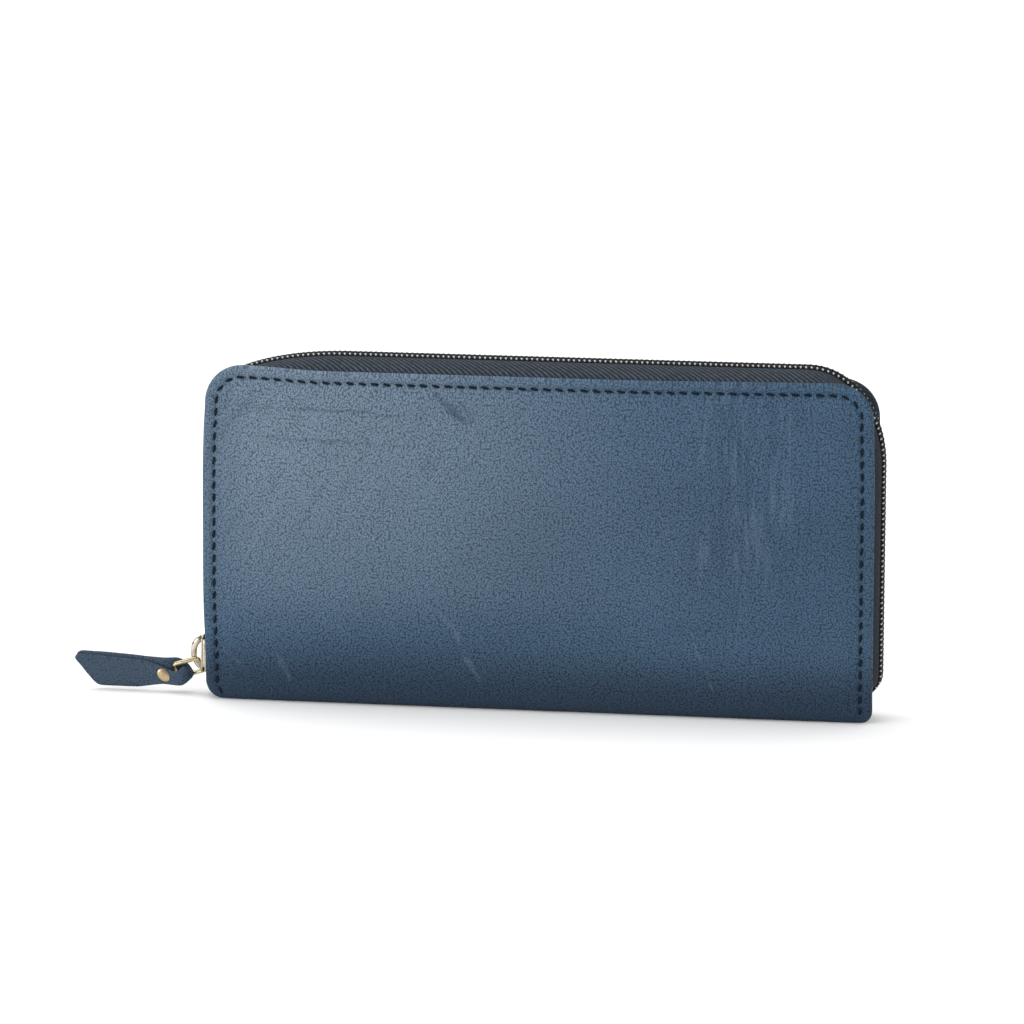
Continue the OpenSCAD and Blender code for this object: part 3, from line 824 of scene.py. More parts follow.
def repeatTree(name):
    tree = bpy.data.node_groups.new(name, "GeometryNodeTree")
    tree.is_modifier = True
    add = tree.interface.new_socket
    add(name="Geometry", in_out="INPUT", socket_type="NodeSocketGeometry")
    add(name="Piece", in_out="INPUT", socket_type="NodeSocketObject")
    add(name="Count", in_out="INPUT", socket_type="NodeSocketInt")
    add(name="Side", in_out="INPUT", socket_type="NodeSocketVector")
    add(name="Sway", in_out="INPUT", socket_type="NodeSocketFloat")
    add(name="Material", in_out="INPUT", socket_type="NodeSocketMaterial")
    add(name="Geometry", in_out="OUTPUT", socket_type="NodeSocketGeometry")
    given = put(tree, "NodeGroupInput")
    line = put(tree, "GeometryNodeMeshToCurve", {"Mesh": given.outputs["Geometry"]})
    spots = put(tree, "GeometryNodeCurveToPoints", {"Curve": line.outputs[0],
                                                    "Count": given.outputs["Count"]},
                mode="COUNT")
    turn = put(tree, "FunctionNodeAxesToRotation", {0: spots.outputs["Tangent"], 1: given.outputs["Side"]},
               primary_axis="X", secondary_axis="Y")
    most = given.outputs["Sway"]
    least = put(tree, "ShaderNodeMath", {0: most, 1: -1.0}, operation="MULTIPLY").outputs[0]
    chance = put(tree, "FunctionNodeRandomValue", {2: least, 3: most, "Seed": 7}, data_type="FLOAT")
    tilt = put(tree, "ShaderNodeCombineXYZ", {1: chance.outputs[1]})
    turned = put(tree, "FunctionNodeRotateRotation", {0: turn.outputs[0], 1: tilt.outputs[0]},
                 rotation_space="LOCAL")
    shape = put(tree, "GeometryNodeObjectInfo", {"Object": given.outputs["Piece"]})
    copies = put(tree, "GeometryNodeInstanceOnPoints", {"Points": spots.outputs["Points"],
                 "Instance": shape.outputs["Geometry"], "Rotation": turned.outputs[0]})
    real = put(tree, "GeometryNodeRealizeInstances", {0: copies.outputs[0]})
    skin = put(tree, "GeometryNodeSetMaterial", {"Geometry": real.outputs[0],
                                                 "Material": given.outputs["Material"]})
    put(tree, "NodeGroupOutput", {0: skin.outputs[0]})
    return tree


alongPath = repeatTree("repeat_along_path")


def repeatPiece(name, path, shape, pitch, material, side=(0, 1, 0), sway=0.0):
    piece = newPiece(name, path, [])
    mesh = piece.data
    mesh.edges.add(len(path) - 1)
    for k in range(len(path) - 1):
        mesh.edges[k].vertices = (k, k + 1)
    modifier = piece.modifiers.new("Repeat", "NODES")
    modifier.node_group = alongPath
    length = sum((Vector(b) - Vector(a)).length for a, b in zip(path, path[1:]))
    values = {"Piece": shape, "Count": round(length / pitch) + 1, "Side": side, "Sway": sway,
              "Material": material}
    for item in alongPath.interface.items_tree:
        if item.in_out == "INPUT" and item.name in values:
            modifier[item.identifier] = values[item.name]
    settle(piece)
    piece.data.shade_smooth()
    return piece


def hideAway(*shapes):
    for shape in shapes:
        bpy.data.objects.remove(shape)


stitch = {"length": 2.55 * mm, "radius": 0.38 * mm, "slant": 0.16, "sway": 0.11}


def stitchShape():
    # a short thread that dips at both ends; X along the seam, Y out of the leather
    rings, sides = 11, 8
    points, faces = [], []
    for k in range(rings):
        t = k / (rings - 1)
        x = (t - 0.5) * stitch["length"]
        lift = 0.42 * mm * (math.sin(math.pi * t) ** 0.8) - 0.30 * mm
        radius = stitch["radius"] * (0.30 + 0.70 * math.sin(math.pi * t) ** 0.6)
        z = x * stitch["slant"]
        for s in range(sides):
            angle = 2 * math.pi * s / sides
            points.append((x, lift + radius * 0.75 * math.sin(angle), z + radius * math.cos(angle)))
    faces = ringFaces(rings, sides)
    shape = newPiece("stitch_shape", points, faces)
    outward(shape)
    return shape


stitchMould = stitchShape()

for side, name in ((-1, "front_stitching"), (1, "back_stitching")):
    seam = facePoint(stitchLine[:, 0], stitchLine[:, 1], side, relief=False, behind=0.14 * mm)
    piece = repeatPiece(name, [tuple(point) for point in seam], stitchMould, hide["stitchPitch"],
                        navyThread,
                        side=(0, side, 0), sway=stitch["sway"])
    bendOverSpine(piece)
print("stitching made")


chain = {
    "leftCorner": (41 * mm, 13.0 * mm),
    "rightCorner": (21 * mm, 27 * mm),
    "tapeThick": 0.6 * mm,
    "slit": 1.0 * mm,
    "flat": 3.6 * mm,
    "coilHalf": 2.75 * mm,
    "coilThick": 1.55 * mm,
    "pitch": 1.53 * mm,
    "foot": 4.6 * mm,
    "turnIn": 5.4 * mm,
    "turnFrom": 12.5 * mm,
    "rightOut": 0.65 * mm,
    "leftIn": 1.2 * mm,
}
chainHalf = tapeHigh[0]
chainTop = tapeHigh[2]
stretches = (44, 70, 90, 34, 44)
breakpoints = (86.5 * mm, -50 * mm, 76 * mm, 80 * mm)


def ridgePath():
    # the zip runs straight into the slider on the left; on the right its end turns in
    line = archLine(chainHalf, chainTop, chain["leftCorner"], chain["rightCorner"], chain["foot"])
    line = matched(line, stretches, breakpoints)
    far = smooth(0.5 * chainHalf, 0.95 * chainHalf, np.abs(line[:, 0]))
    shift = np.where(line[:, 0] > 0, chain["rightOut"],
                     chain["leftIn"] * smooth(70 * mm, 90 * mm, line[:, 1]))
    line[:, 0] += far * shift
    turned = chain["turnIn"] * smooth(chain["turnFrom"], chain["foot"], line[:, 1])
    line[:, 0] -= np.where(line[:, 0] > 0, turned, 0)
    return line


def rimLine(inset):
    # the leather's own outline, drawn in by an inset, with as many points as the ridge
    r = hide["corner"] - min(inset, 5 * mm)
    line = archLine(halfLength - inset, panelTop - inset, (r, r), (r, r), chain["foot"])
    line = matched(line, stretches, breakpoints)
    level = np.clip(line[:, 1], 0, panelTop - hide["corner"])
    drawn = np.where(line[:, 0] < 0, edgeWidth(level, -1), edgeWidth(level, 1)) - halfLength
    line[:, 0] += np.sign(line[:, 0]) * drawn * smooth(0.5 * halfLength, 0.9 * halfLength,
                                                       np.abs(line[:, 0]))
    return line


def tapeGrid(side):
    ridge = ridgePath()
    rim, seam = rimLine(0.9 * mm), rimLine(6 * mm)
    inner = hide["edgeHalf"] - hide["thickness"] - 0.05 * mm
    rows = []
    lengths = np.concatenate([[0], np.cumsum(np.linalg.norm(np.diff(ridge, axis=0), axis=1))])
    for share, y in ((0.0, inner - 0.15 * mm), (0.5, inner - 0.1 * mm), (1.0, inner)):
        rows.append(np.stack([seam[:, 0] + (rim[:, 0] - seam[:, 0]) * share, np.full(len(rim), side * y),
                              seam[:, 1] + (rim[:, 1] - seam[:, 1]) * share], -1))
    for k in range(1, 11):
        share = k / 10
        ease = math.sin(share * math.pi / 2) ** 0.9
        y = inner + (chain["flat"] - inner) * share
        rows.append(np.stack([rim[:, 0] + (ridge[:, 0] - rim[:, 0]) * ease, np.full(len(rim), side * y),
                              rim[:, 1] + (ridge[:, 1] - rim[:, 1]) * ease], -1))
    for y in (2.4 * mm, chain["slit"]):
        rows.append(np.stack([ridge[:, 0], np.full(len(ridge), side * y), ridge[:, 1]], -1))
    grid = settleBack(np.stack(rows), side)
    across = np.linalg.norm(np.diff(grid, axis=0), axis=2).mean(1)
    depth = np.concatenate([[0], np.cumsum(across)])
    uv = np.stack([np.broadcast_to(lengths, grid.shape[:2]),
                   np.broadcast_to(depth[:, None], grid.shape[:2])], -1)
    return grid, uv


def toothShape(side):
    # one turn of the coil: over the top to the head, back underneath; X along the zip, Z out of it
    p, w, h = chain["pitch"], chain["coilHalf"], chain["coilThick"]
    turn = [(-0.18 * p, -w, 0.40 * h), (-0.16 * p, -0.94 * w, 0.60 * h), (-0.10 * p, -0.78 * w, 0.70 * h),
            (-0.03 * p, -0.50 * w, 0.72 * h), (0.0, -0.22 * w, 0.72 * h), (0.0, 0.02 * w, 0.66 * h),
            (0.0, 0.12 * w, 0.48 * h), (0.02 * p, 0.0, 0.30 * h), (0.2 * p, -0.45 * w, 0.24 * h),
            (0.6 * p, -0.9 * w, 0.27 * h), (0.82 * p, -w, 0.40 * h)]
    radii = [0.30, 0.36, 0.39, 0.41, 0.42, 0.44, 0.42, 0.32, 0.26, 0.28, 0.30]
    path = [(x, y if side < 0 else -y, z) for x, y, z in turn]
    shape = tubePiece("tooth_shape", path, [r * mm for r in radii], 8, None, up=(0.3, 0.2, 1))
    outward(shape)
    return shape


def makeCord(name, line, side):
    # the filler cord that the turns are wound round, a flat oval along the ridge
    rings, sides = [], 12
    turns = [2 * math.pi * s / sides for s in range(sides)]
    for k, here in enumerate(line):
        before, after = line[max(k - 1, 0)], line[min(k + 1, len(line) - 1)]
        along = Vector((after[0] - before[0], 0, after[2] - before[2])).normalized()
        out = Vector((-along.z, 0, along.x))
        rings.append([Vector(here) + Vector((0, side * (1.78 + 0.86 * math.cos(turn)) * mm, 0))
                      + out * ((0.74 + 0.66 * math.sin(turn)) * mm) for turn in turns])
    points = [point for ring in rings for point in ring]
    faces = ringFaces(len(rings), sides)
    cord = newPiece(name, points, faces, coilNylon)
    outward(cord)
    return cord


def makeStops(name, line, side):
    # a folded metal clamp over each end of the coil
    stops = []
    for here, near in ((line[0], line[3]), (line[-1], line[-4])):
        along = Vector((near[0] - here[0], 0, near[2] - here[2])).normalized()
        out = Vector((-along.z, 0, along.x)) * (1 if here[0] < 0 else -1)
        outline = [(-0.9 * mm, 0.15 * mm), (0.8 * mm, 0.15 * mm), (0.8 * mm, 3.0 * mm),
                   (-0.9 * mm, 3.0 * mm)]
        clamp = slabPiece("stop", [(x, side * y) for x, y in outline], -0.2 * mm, 1.7 * mm, "z", nickel,
                          bevel=0.25 * mm)
        moved(clamp, Matrix(((along.x, 0, out.x, here[0]), (along.y, 1, out.y, 0),
                             (along.z, 0, out.z, here[2]),
                             (0, 0, 0, 1))))
        outward(clamp)
        stops.append(clamp)
    return joinPieces(name, stops)


def beadShape(side):
    # a pale bead over the top of one turn: partly the thread that sews the coil on, partly a painted
    # highlight on the turn's crest
    points, faces, rings, sides = [], [], 7, 8
    place = Vector((0, side * 2.45 * mm, 1.10 * mm))
    for k in range(1, rings):
        polar = math.pi * k / rings
        for s in range(sides):
            angle = 2 * math.pi * s / sides
            around = Vector((0.36 * math.sin(polar) * math.cos(angle), 0.42 * math.cos(polar),
                             0.40 * math.sin(polar) * math.sin(angle)))
            points.append(place + around * mm)
    faces = ringFaces(rings - 1, sides)
    shape = newPiece("bead_shape", points, faces)
    outward(shape)
    return shape


def makeZip(side, label, body, replaced):
    grid, uv = tapeGrid(side)
    tape = gridPiece(label + "_tape_woven", grid, tapeCloth, flip=side < 0, uv=uv)
    thicken(tape, chain["tapeThick"], even=False)
    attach(tape, body)
    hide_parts(replaced + "_zip_tape")
    ridge = ridgePath()
    ridge = np.stack([ridge[:, 0], np.zeros(len(ridge)), ridge[:, 1]], -1)
    tooth = toothShape(side)
    start = chain["pitch"] * (2.0 if side < 0 else 2.5)
    line = cutLine(ridge, start, chain["pitch"], spare=2 * mm)
    coil = repeatPiece(label + "_coil_turns", [tuple(point) for point in line], tooth, chain["pitch"],
                       coilNylon)
    # pale beads along the coil, partly a painted highlight on each turn's crest
    bead = beadShape(side)
    beadGlint = repeatPiece(label + "_coil_sewing", [tuple(point) for point in line], bead, chain["pitch"],
                         coilThreadGlint)
    hideAway(tooth, bead)
    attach(coil, body)
    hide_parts(replaced + "_zip_coil", replaced + "_coil_run")
    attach(beadGlint, body)
    cord = makeCord(label + "_coil_cord", [tuple(point) for point in line], side)
    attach(cord, body)
    stops = makeStops(label + "_coil_stops", [tuple(point) for point in line], side)
    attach(stops, body)
    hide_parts(replaced + "_zip_stops")


makeZip(-1, "front", frontBody, "front")
makeZip(1, "back", backBody, "back")
print("main zip made")


def cardLeaf(label, side, number, body):
    node = f"{label}_card_leaf_{number}"
    low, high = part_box(node)
    inner = low[1] if side > 0 else high[1]
    outer = high[1] if side > 0 else low[1]
    xs = np.linspace(low[0], high[0], 97)
    zs = np.concatenate([np.linspace(low[2], high[2] - 6 * mm, 9),
                         high[2] - np.array([4.5, 3, 2.2, 1.6, 1, 0.5, 0]) * mm])
    x, z = np.meshgrid(xs, zs)
    column = np.abs(np.abs(x) - high[0] / 2) / (high[0] / 2)
    lift = 0.35 * mm * (1 - column ** 2) * smooth(high[2] - 30 * mm, high[2], z)
    crease = 0.12 * mm * np.exp(-((high[2] - 2.4 * mm - z) / (0.5 * mm)) ** 2)
    valley = 0.20 * mm * np.exp(-(x / (0.8 * mm)) ** 2)
    top = z - 0.5 * mm * smooth(high[2] - 4 * mm, high[2], z) * (column ** 6)
    y = inner - side * (lift * (0.5 if number < 4 else 1.0) - crease - valley)
    y = y - side * np.maximum(hide["bodyHalf"] - hideHalf(x, z), 0)
    grid = settleBack(np.stack([x, y, top], -1), side)
    piece = gridPiece(node + "_sheet", grid, innerLeather, flip=side < 0)
    thicken(piece, abs(outer - inner) * 0.9)
    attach(piece, body)
    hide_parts(node)


for label, side, body in (("front", -1, frontBody), ("back", 1, backBody)):
    for number in (1, 2, 3, 4):
        cardLeaf(label, side, number, body)
    low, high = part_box(f"{label}_card_leaf_1")
    small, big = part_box(f"{label}_card_leaf_4")
    face = small[1] if side > 0 else big[1]
    lines = []
    for x in (low[0] + 1.5 * mm, 0.0, high[0] - 1.5 * mm):
        lines.append([(x, face - side * 0.02 * mm, low[2] + 1 * mm),
                      (x, face - side * 0.02 * mm, big[2] - 1 * mm)])
    seams = [repeatPiece(f"pocket_seam_{k}", line, stitchMould, 3.0 * mm, navyThread, side=(0, -side, 0))
             for k, line in enumerate(lines)]
    seamPiece = joinPieces(f"{label}_pocket_seams", seams)
    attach(seamPiece, body)

gusset = {"thickness": 0.5 * mm, "deepTop": 16 * mm, "deepFoot": 9 * mm}


def makeGusset(label, side, endName, end):
    node = f"{label}_{endName}_gusset"
    low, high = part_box(node)
    near, far = (low[1], high[1]) if side > 0 else (high[1], low[1])
    outer = (high[0] if end > 0 else -low[0]) - 0.2 * mm
    rows = []
    for k in range(26):
        t = k / 25
        z = low[2] + (high[2] - low[2]) * t
        depth = gusset["deepFoot"] + (gusset["deepTop"] - gusset["deepFoot"]) * t
        row = []
        for s in range(17):
            u = s / 16
            fold = 1 - abs(2 * u - 1)
            tip = 1 - (1 - fold) ** 1.0 * 1.0
            x = outer - depth * (tip ** 0.9)
            y = near + (far - near) * 0.72 * (0.08 + 0.84 * u + 0.10 * math.sin(4 * math.pi * u) / 2)
            row.append((end * x, y, z - 1.5 * mm * fold * t))
        rows.append(row)
    piece = gridPiece(node + "_fold", np.array(rows), innerLeather, flip=end * side > 0)
    thicken(piece, gusset["thickness"])
    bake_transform(piece)
    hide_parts(node)


for label, side, body in (("front", -1, frontBody), ("back", 1, backBody)):
    for endName, end in (("left", -1), ("right", 1)):
        makeGusset(label, side, endName, end)

coinLow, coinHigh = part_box("coin_front_coil")
coin = {"pitch": 1.2 * mm, "half": 1.9 * mm, "thick": 1.2 * mm}


def coinTooth(side):
    p, w, h = coin["pitch"], min(coin["half"], 1.45 * mm), coin["thick"]
    turn = [(-0.16 * p, -w, 0.4 * h), (-0.1 * p, -0.85 * w, 0.74 * h), (0.0, -0.4 * w, 0.8 * h),
            (0.0, 0.0, 0.72 * h), (0.0, 0.12 * w, 0.45 * h), (0.1 * p, -0.1 * w, 0.26 * h),
            (0.6 * p, -0.85 * w, 0.26 * h), (0.84 * p, -w, 0.4 * h)]
    path = [(x, y if side < 0 else -y, z) for x, y, z in turn]
    shape = tubePiece("coin_tooth_shape", path, 0.24 * mm, 6, None, up=(0.3, 0.2, 1))
    outward(shape)
    return shape


for label, side in (("front", -1), ("back", 1)):
    tooth = coinTooth(side)
    start = coinLow[0] + (0.0 if side < 0 else coin["pitch"] / 2)
    line = cutLine(np.array([(start, 0, coinLow[2]), (coinHigh[0] - 1 * mm, 0, coinLow[2])]), 0.0,
                   coin["pitch"])
    line = [tuple(point) for point in line]
    coil = repeatPiece(f"coin_{label}_coil_turns", line, tooth, coin["pitch"], coilNylon)
    hideAway(tooth)
    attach(coil, spineBody)
    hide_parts(f"coin_{label}_coil")
print("inside made")


def plateOutline(length, head, tail, steps=5):
    # wide and rounded at the head, narrower at the tail; first value along, second across
    half = length / 2
    nose, shoulder = 1.4 * mm, 1.6 * mm    # corner radii at the tail and at the head
    outline = []
    for k in range(steps + 1):
        angle = math.radians(90 * k / steps)
        outline.append((half - nose + nose * math.sin(angle), -(tail - nose + nose * math.cos(angle))))
    for k in range(steps + 1):
        angle = math.radians(90 * k / steps)
        outline.append((half - nose + nose * math.cos(angle), tail - nose + nose * math.sin(angle)))
    outline.append((0.1 * length, tail + 0.1 * mm))
    outline.append((-0.15 * length, head))
    for k in range(steps + 1):
        angle = math.radians(90 * k / steps)
        outline.append((-half + shoulder - shoulder * math.sin(angle),
                        head - shoulder + shoulder * math.cos(angle)))
    for k in range(steps + 1):
        angle = math.radians(90 * k / steps)
        outline.append((-half + shoulder - shoulder * math.cos(angle),
                        -(head - shoulder + shoulder * math.sin(angle))))
    outline.append((-0.15 * length, -head))
    outline.append((0.1 * length, -(tail + 0.1 * mm)))
    return outline


def makeSlider(name, length, head, tail, top, bottom, plate, coilTop, scale, material):
    # local frame: X towards the closed zip, Y across, Z out of the zip; Z 0 is the tape's outer face
    outline = plateOutline(length, head, tail)
    upper = slabPiece("upper", outline, top, top + plate, "z", material, bevel=0.28 * mm * scale)
    lower = slabPiece("lower", outline, bottom - plate, bottom, "z", material, bevel=0.22 * mm * scale)
    parts = [upper, lower]
    lip = 0.75 * mm * scale    # thickness of each flange
    for way in (-1, 1):
        flange = [(length / 2 - 1.0 * mm, way * (tail - lip)), (length / 2 - 1.0 * mm, way * tail),
                  (0.1 * length, way * (tail + 0.1 * mm)), (-0.15 * length, way * head),
                  (-length / 2 + 1.8 * mm, way * head), (-length / 2 + 1.8 * mm, way * (head - lip)),
                  (-0.15 * length, way * (head - lip))]
        parts.append(slabPiece("flange", flange, coilTop, top + 0.2 * mm, "z", material,
                               bevel=0.15 * mm * scale))
    wedge = [(-length / 2 + 0.6 * mm, -0.85 * mm * scale), (-length / 2 + 0.6 * mm, 0.85 * mm * scale),
             (-length / 2 + 2.0 * mm, 0.8 * mm * scale), (-length / 2 + 3.1 * mm * scale, 0),
             (-length / 2 + 2.0 * mm, -0.8 * mm * scale)]
    parts.append(slabPiece("wedge", wedge, bottom - 0.2 * mm, top + 0.2 * mm, "z", material,
                           bevel=0.1 * mm))
    return joinPieces(name, parts)


sliderLow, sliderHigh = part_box("zip_slider")
crownLow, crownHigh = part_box("slider_crown")
sliderMiddle = (sliderLow[2] + sliderHigh[2]) / 2
tapeFace = tapeLow[0]
# X of the slider's own frame runs up the wallet's end, Z points out to the left
endFrame = Matrix.Translation((tapeFace, 0, sliderMiddle)) @ Matrix(
    ((0, 0, -1, 0), (0, 1, 0, 0), (1, 0, 0, 0), (0, 0, 0, 1)))
sliderLength = sliderHigh[2] - sliderLow[2]
slider = makeSlider("zip_slider_body", sliderLength, 3.6 * mm, 3.0 * mm, 1.8 * mm, -0.8 * mm, 0.8 * mm,
                    0.2 * mm,
                    1.0, nickel)
moved(slider, endFrame)
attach(slider, "zip_slider")
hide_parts("zip_slider")


def crownPiece(name, foot, length, height, width, material, heavy=1.0):
    # a bent strip with a thick head: it leaves the plate at the foot, arches over and comes down free
    half = length / 2
    path, wide, thick = [], [], []
    for k in range(25):
        t = k / 24
        angle = math.pi * t
        x = -half + 0.5 * mm + (length - 1.1 * mm) * t
        rise = math.sin(angle) ** 0.42 if 0 < t < 1 else 0
        path.append((x, 0, foot + (height - 0.72 * mm * heavy) * rise * (1.0 - 0.12 * (1 - t))))
        wide.append(width * (0.92 + 0.25 * smooth(0.55, 0.9, t)))
        thick.append((0.46 + 0.26 * smooth(0.15, 0.6, t)) * mm * heavy)
    path = path[:-1] + [(half - 0.45 * mm, 0, foot + 0.55 * mm)]
    points, faces, sides = [], [], 10
    for k, here in enumerate(path):
        before, after = path[max(k - 1, 0)], path[min(k + 1, len(path) - 1)]
        along = (Vector(after) - Vector(before)).normalized()
        over = Vector((-along.z, 0, along.x))
        for s in range(sides):
            angle = 2 * math.pi * s / sides
            c, d = math.cos(angle), math.sin(angle)
            y = math.copysign(abs(c) ** 0.55, c) * wide[k] / 2
            n = math.copysign(abs(d) ** 0.55, d) * thick[k]
            points.append(Vector(here) + over * n + Vector((0, y, 0)))
    faces = ringFaces(len(path), sides)
    piece = newPiece(name, points, faces, material)
    outward(piece)
    return piece


plateFace = 1.8 * mm + 0.8 * mm
crown = crownPiece("slider_crown_bridge", plateFace - 0.2 * mm, crownHigh[2] - crownLow[2] + 1.4 * mm,
                   crownHigh[0] - crownLow[0] + 0.1 * mm, 1.6 * mm, nickel, heavy=1.32)
moved(crown, endFrame)
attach(crown, "zip_slider")
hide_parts("slider_crown")

ringPlace = Vector(joints["ring_swings"]["pos_m"])
eyePlace = Vector(joints["tab_swings"]["pos_m"])
barWay = Vector(joints["tab_swings"]["axis"]).normalized()
ring = {"halfWidth": 2.75 * mm, "wireWide": 0.68 * mm, "wireThick": 0.54 * mm, "corner": 0.8 * mm,
        "settle": (0.2 * mm, 0.4 * mm, -1.9 * mm)}


def makeRing():
    # a rectangular loop of flat wire in the plane of its two bars
    way = (eyePlace - ringPlace)
    length = way.length
    way.normalize()
    over = way.cross(barWay).normalized()
    middle = (ringPlace + eyePlace) / 2 + Vector(ring["settle"])
    outline = roundOutline(length / 2, ring["halfWidth"], ring["corner"], steps=5)
    sides, points = 8, []
    count = len(outline)
    for k in range(count):
        here = Vector(outline[k]).to_3d()
        along = (Vector(outline[(k + 1) % count]).to_3d() - Vector(outline[k - 1]).to_3d()).normalized()
        out = Vector((along.y, -along.x, 0))
        for s in range(sides):
            angle = 2 * math.pi * (s + 0.5) / sides
            c, d = math.cos(angle), math.sin(angle)
            flat = here + out * math.copysign(abs(c) ** 0.6, c) * ring["wireThick"]
            level = math.copysign(abs(d) ** 0.6, d) * ring["wireWide"]
            points.append(middle + way * flat.x + barWay * flat.y + over * level)
    faces = [(k * sides + s, k * sides + (s + 1) % sides, ((k + 1) % count) * sides + (s + 1) % sides,
              ((k + 1) % count) * sides + s) for k in range(count) for s in range(sides)]
    piece = newPiece("pull_ring_wire", points, faces, goldPlate)
    outward(piece)
    return piece


ringPiece = makeRing()
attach(ringPiece, "pull_ring")
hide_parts("pull_ring")
print("slider and ring made")


tabLow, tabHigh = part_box("pull_tab")
tab = {
    "tip": tabLow[0] - 0.75 * mm,
    "thickness": 1.15 * mm,
    "foldX": -103.8 * mm,
    "layerGap": 0.62 * mm,    # from the middle plane to the inside of each layer
    "lift": 0.72 * mm,
    "stretch": 1.055,
    "rows": 45,
    "reach": 3.4 * mm,        # how far the fold stands out past the two flat layers
    "foldRadius": 2.3 * mm,
}


tabOutline = {  # millimetres from the tip, then heights above the floor
    "back": ((0, 8.5), (0.15, 9.0), (0.5, 9.45), (1.0, 9.8), (1.9, 9.95), (9.4, 9.7), (18, 9.2),
             (21, 8.95), (26, 8.8), (30.3, 8.9),
             (31.6, 8.6), (33.2, 7.6), (34.2, 6.4), (35.1, 5.2)),
    "front": ((0, 8.4), (0.15, 8.7), (0.5, 9.0), (1.0, 9.15), (1.9, 9.2), (6, 8.95), (14, 8.4),
              (20.6, 8.0), (23.3, 7.5),
              (26.2, 6.6), (28.5, 5.8), (30.3, 5.35), (31.2, 5.5), (32.4, 6.5), (33.2, 7.2), (34.2, 6.3),
              (35.1, 5.2)),
    "lower": ((0, 7.9), (0.15, 7.5), (0.5, 7.0), (1.5, 6.0), (3.7, 3.4), (5.8, 1.2), (6.6, 0.65),
              (7.4, 0.42), (9, 0.32),
              (19, 0.34), (23.3, 1.0), (26.2, 1.4), (30.3, 1.4), (31.6, 1.35), (32.8, 1.55), (33.9, 2.2),
              (34.6, 3.0), (35.1, 4.0), (35.4, 4.8)),
}


def softly(t, table):
    # the outline's height with its corners rounded off
    table = np.array(table)
    near = min(0.55, 0.15 + 0.5 * t) if t < 5 else 0.55
    spots = t + near * np.linspace(-1, 1, 9)
    return float(np.interp(spots, table[:, 0], table[:, 1]).mean())


def tabEdges(x, back):
    # lower and upper edge of the strip at a place along it
    t = (x - tab["tip"]) / mm
    low, high = softly(t, tabOutline["lower"]), softly(t, tabOutline["back" if back else "front"])
    return tuple((height * tab["stretch"]) * mm + tab["lift"] for height in (low, high))


def tabPath():
    # plan of the folded strip, from the front layer's tip round the fold to the back layer's tip
    front = -(tab["layerGap"] * 0.15 + tab["thickness"] / 2)
    turn = tab["foldX"] - tab["reach"]

    def layerPoint(k, level, bulge):
        x = tab["tip"] + (turn - tab["tip"]) * (k / tab["rows"]) ** 1.4
        swell = smooth(-113.0 * mm, -106.5 * mm, x)
        wave = 0.35 * mm * math.sin((x - tab["tip"]) / (9 * mm)) * (1 - swell)
        return x, level + bulge * swell + wave

    plan = [layerPoint(k, front, -1.55 * mm) for k in range(tab["rows"] + 1)]
    for k in range(1, 26):
        angle = math.radians(-90 + 180 * k / 26)
        plan.append((turn + tab["reach"] * math.cos(angle) * 0.95,
                     tab["foldRadius"] * math.sin(angle) * 0.97))
    plan += [layerPoint(k, -front, 1.45 * mm) for k in range(tab["rows"], -1, -1)]
    return plan


def makeTab():
    plan = tabPath()
    count = len(plan)
    columns = 17
    points = []
    half = tab["thickness"] / 2
    rings = []
    for k, (x, y) in enumerate(plan):
        before, after = plan[max(k - 1, 0)], plan[min(k + 1, count - 1)]
        along = Vector((after[0] - before[0], after[1] - before[1], 0)).normalized()
        out = Vector((along.y, -along.x, 0))
        lowF, highF = tabEdges(x, False)
        lowB, highB = tabEdges(x, True)
        share = smooth(0.42, 0.58, k / (count - 1))
        low = lowF + (lowB - lowF) * share
        high = highF + (highB - highF) * share
        lean = 0.10 * smooth(-120 * mm, -106 * mm, x)
        ring = []
        # round the section: up the outer face with its edge crease, down the inner face
        for s in list(range(columns)) + list(range(columns - 2, 0, -1)):
            outer = len(ring) < columns
            z = low + (high - low) * (s / (columns - 1))
            d = min(z - low, high - z)
            edge = half * math.sqrt(max(1 - max(0, 1 - d / (0.55 * mm)) ** 2, 0.0))
            crease = 0.13 * mm * math.exp(-((d - 1.25 * mm) / (0.28 * mm)) ** 2)
            base = Vector((x, y - lean * (z - low), z))
            ring.append(base + out * (edge - crease) if outer else base - out * edge)
        rings.append(ring)
    sides = len(rings[0])
    points = [point for ring in rings for point in ring]
    faces = ringFaces(count, sides)
    piece = newPiece("pull_tab_strip", points, faces, tabLeather)
    outward(piece)
    return piece


tabPiece = makeTab()
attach(tabPiece, "pull_tab")
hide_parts("pull_tab")

rivetLow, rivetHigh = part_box("tab_rivet")
rivet = {"radius": 1.95 * mm, "dome": 0.5 * mm, "rim": 0.25 * mm, "shift": (3.6 * mm, 0.75 * mm),
         "face": 1.5 * mm}


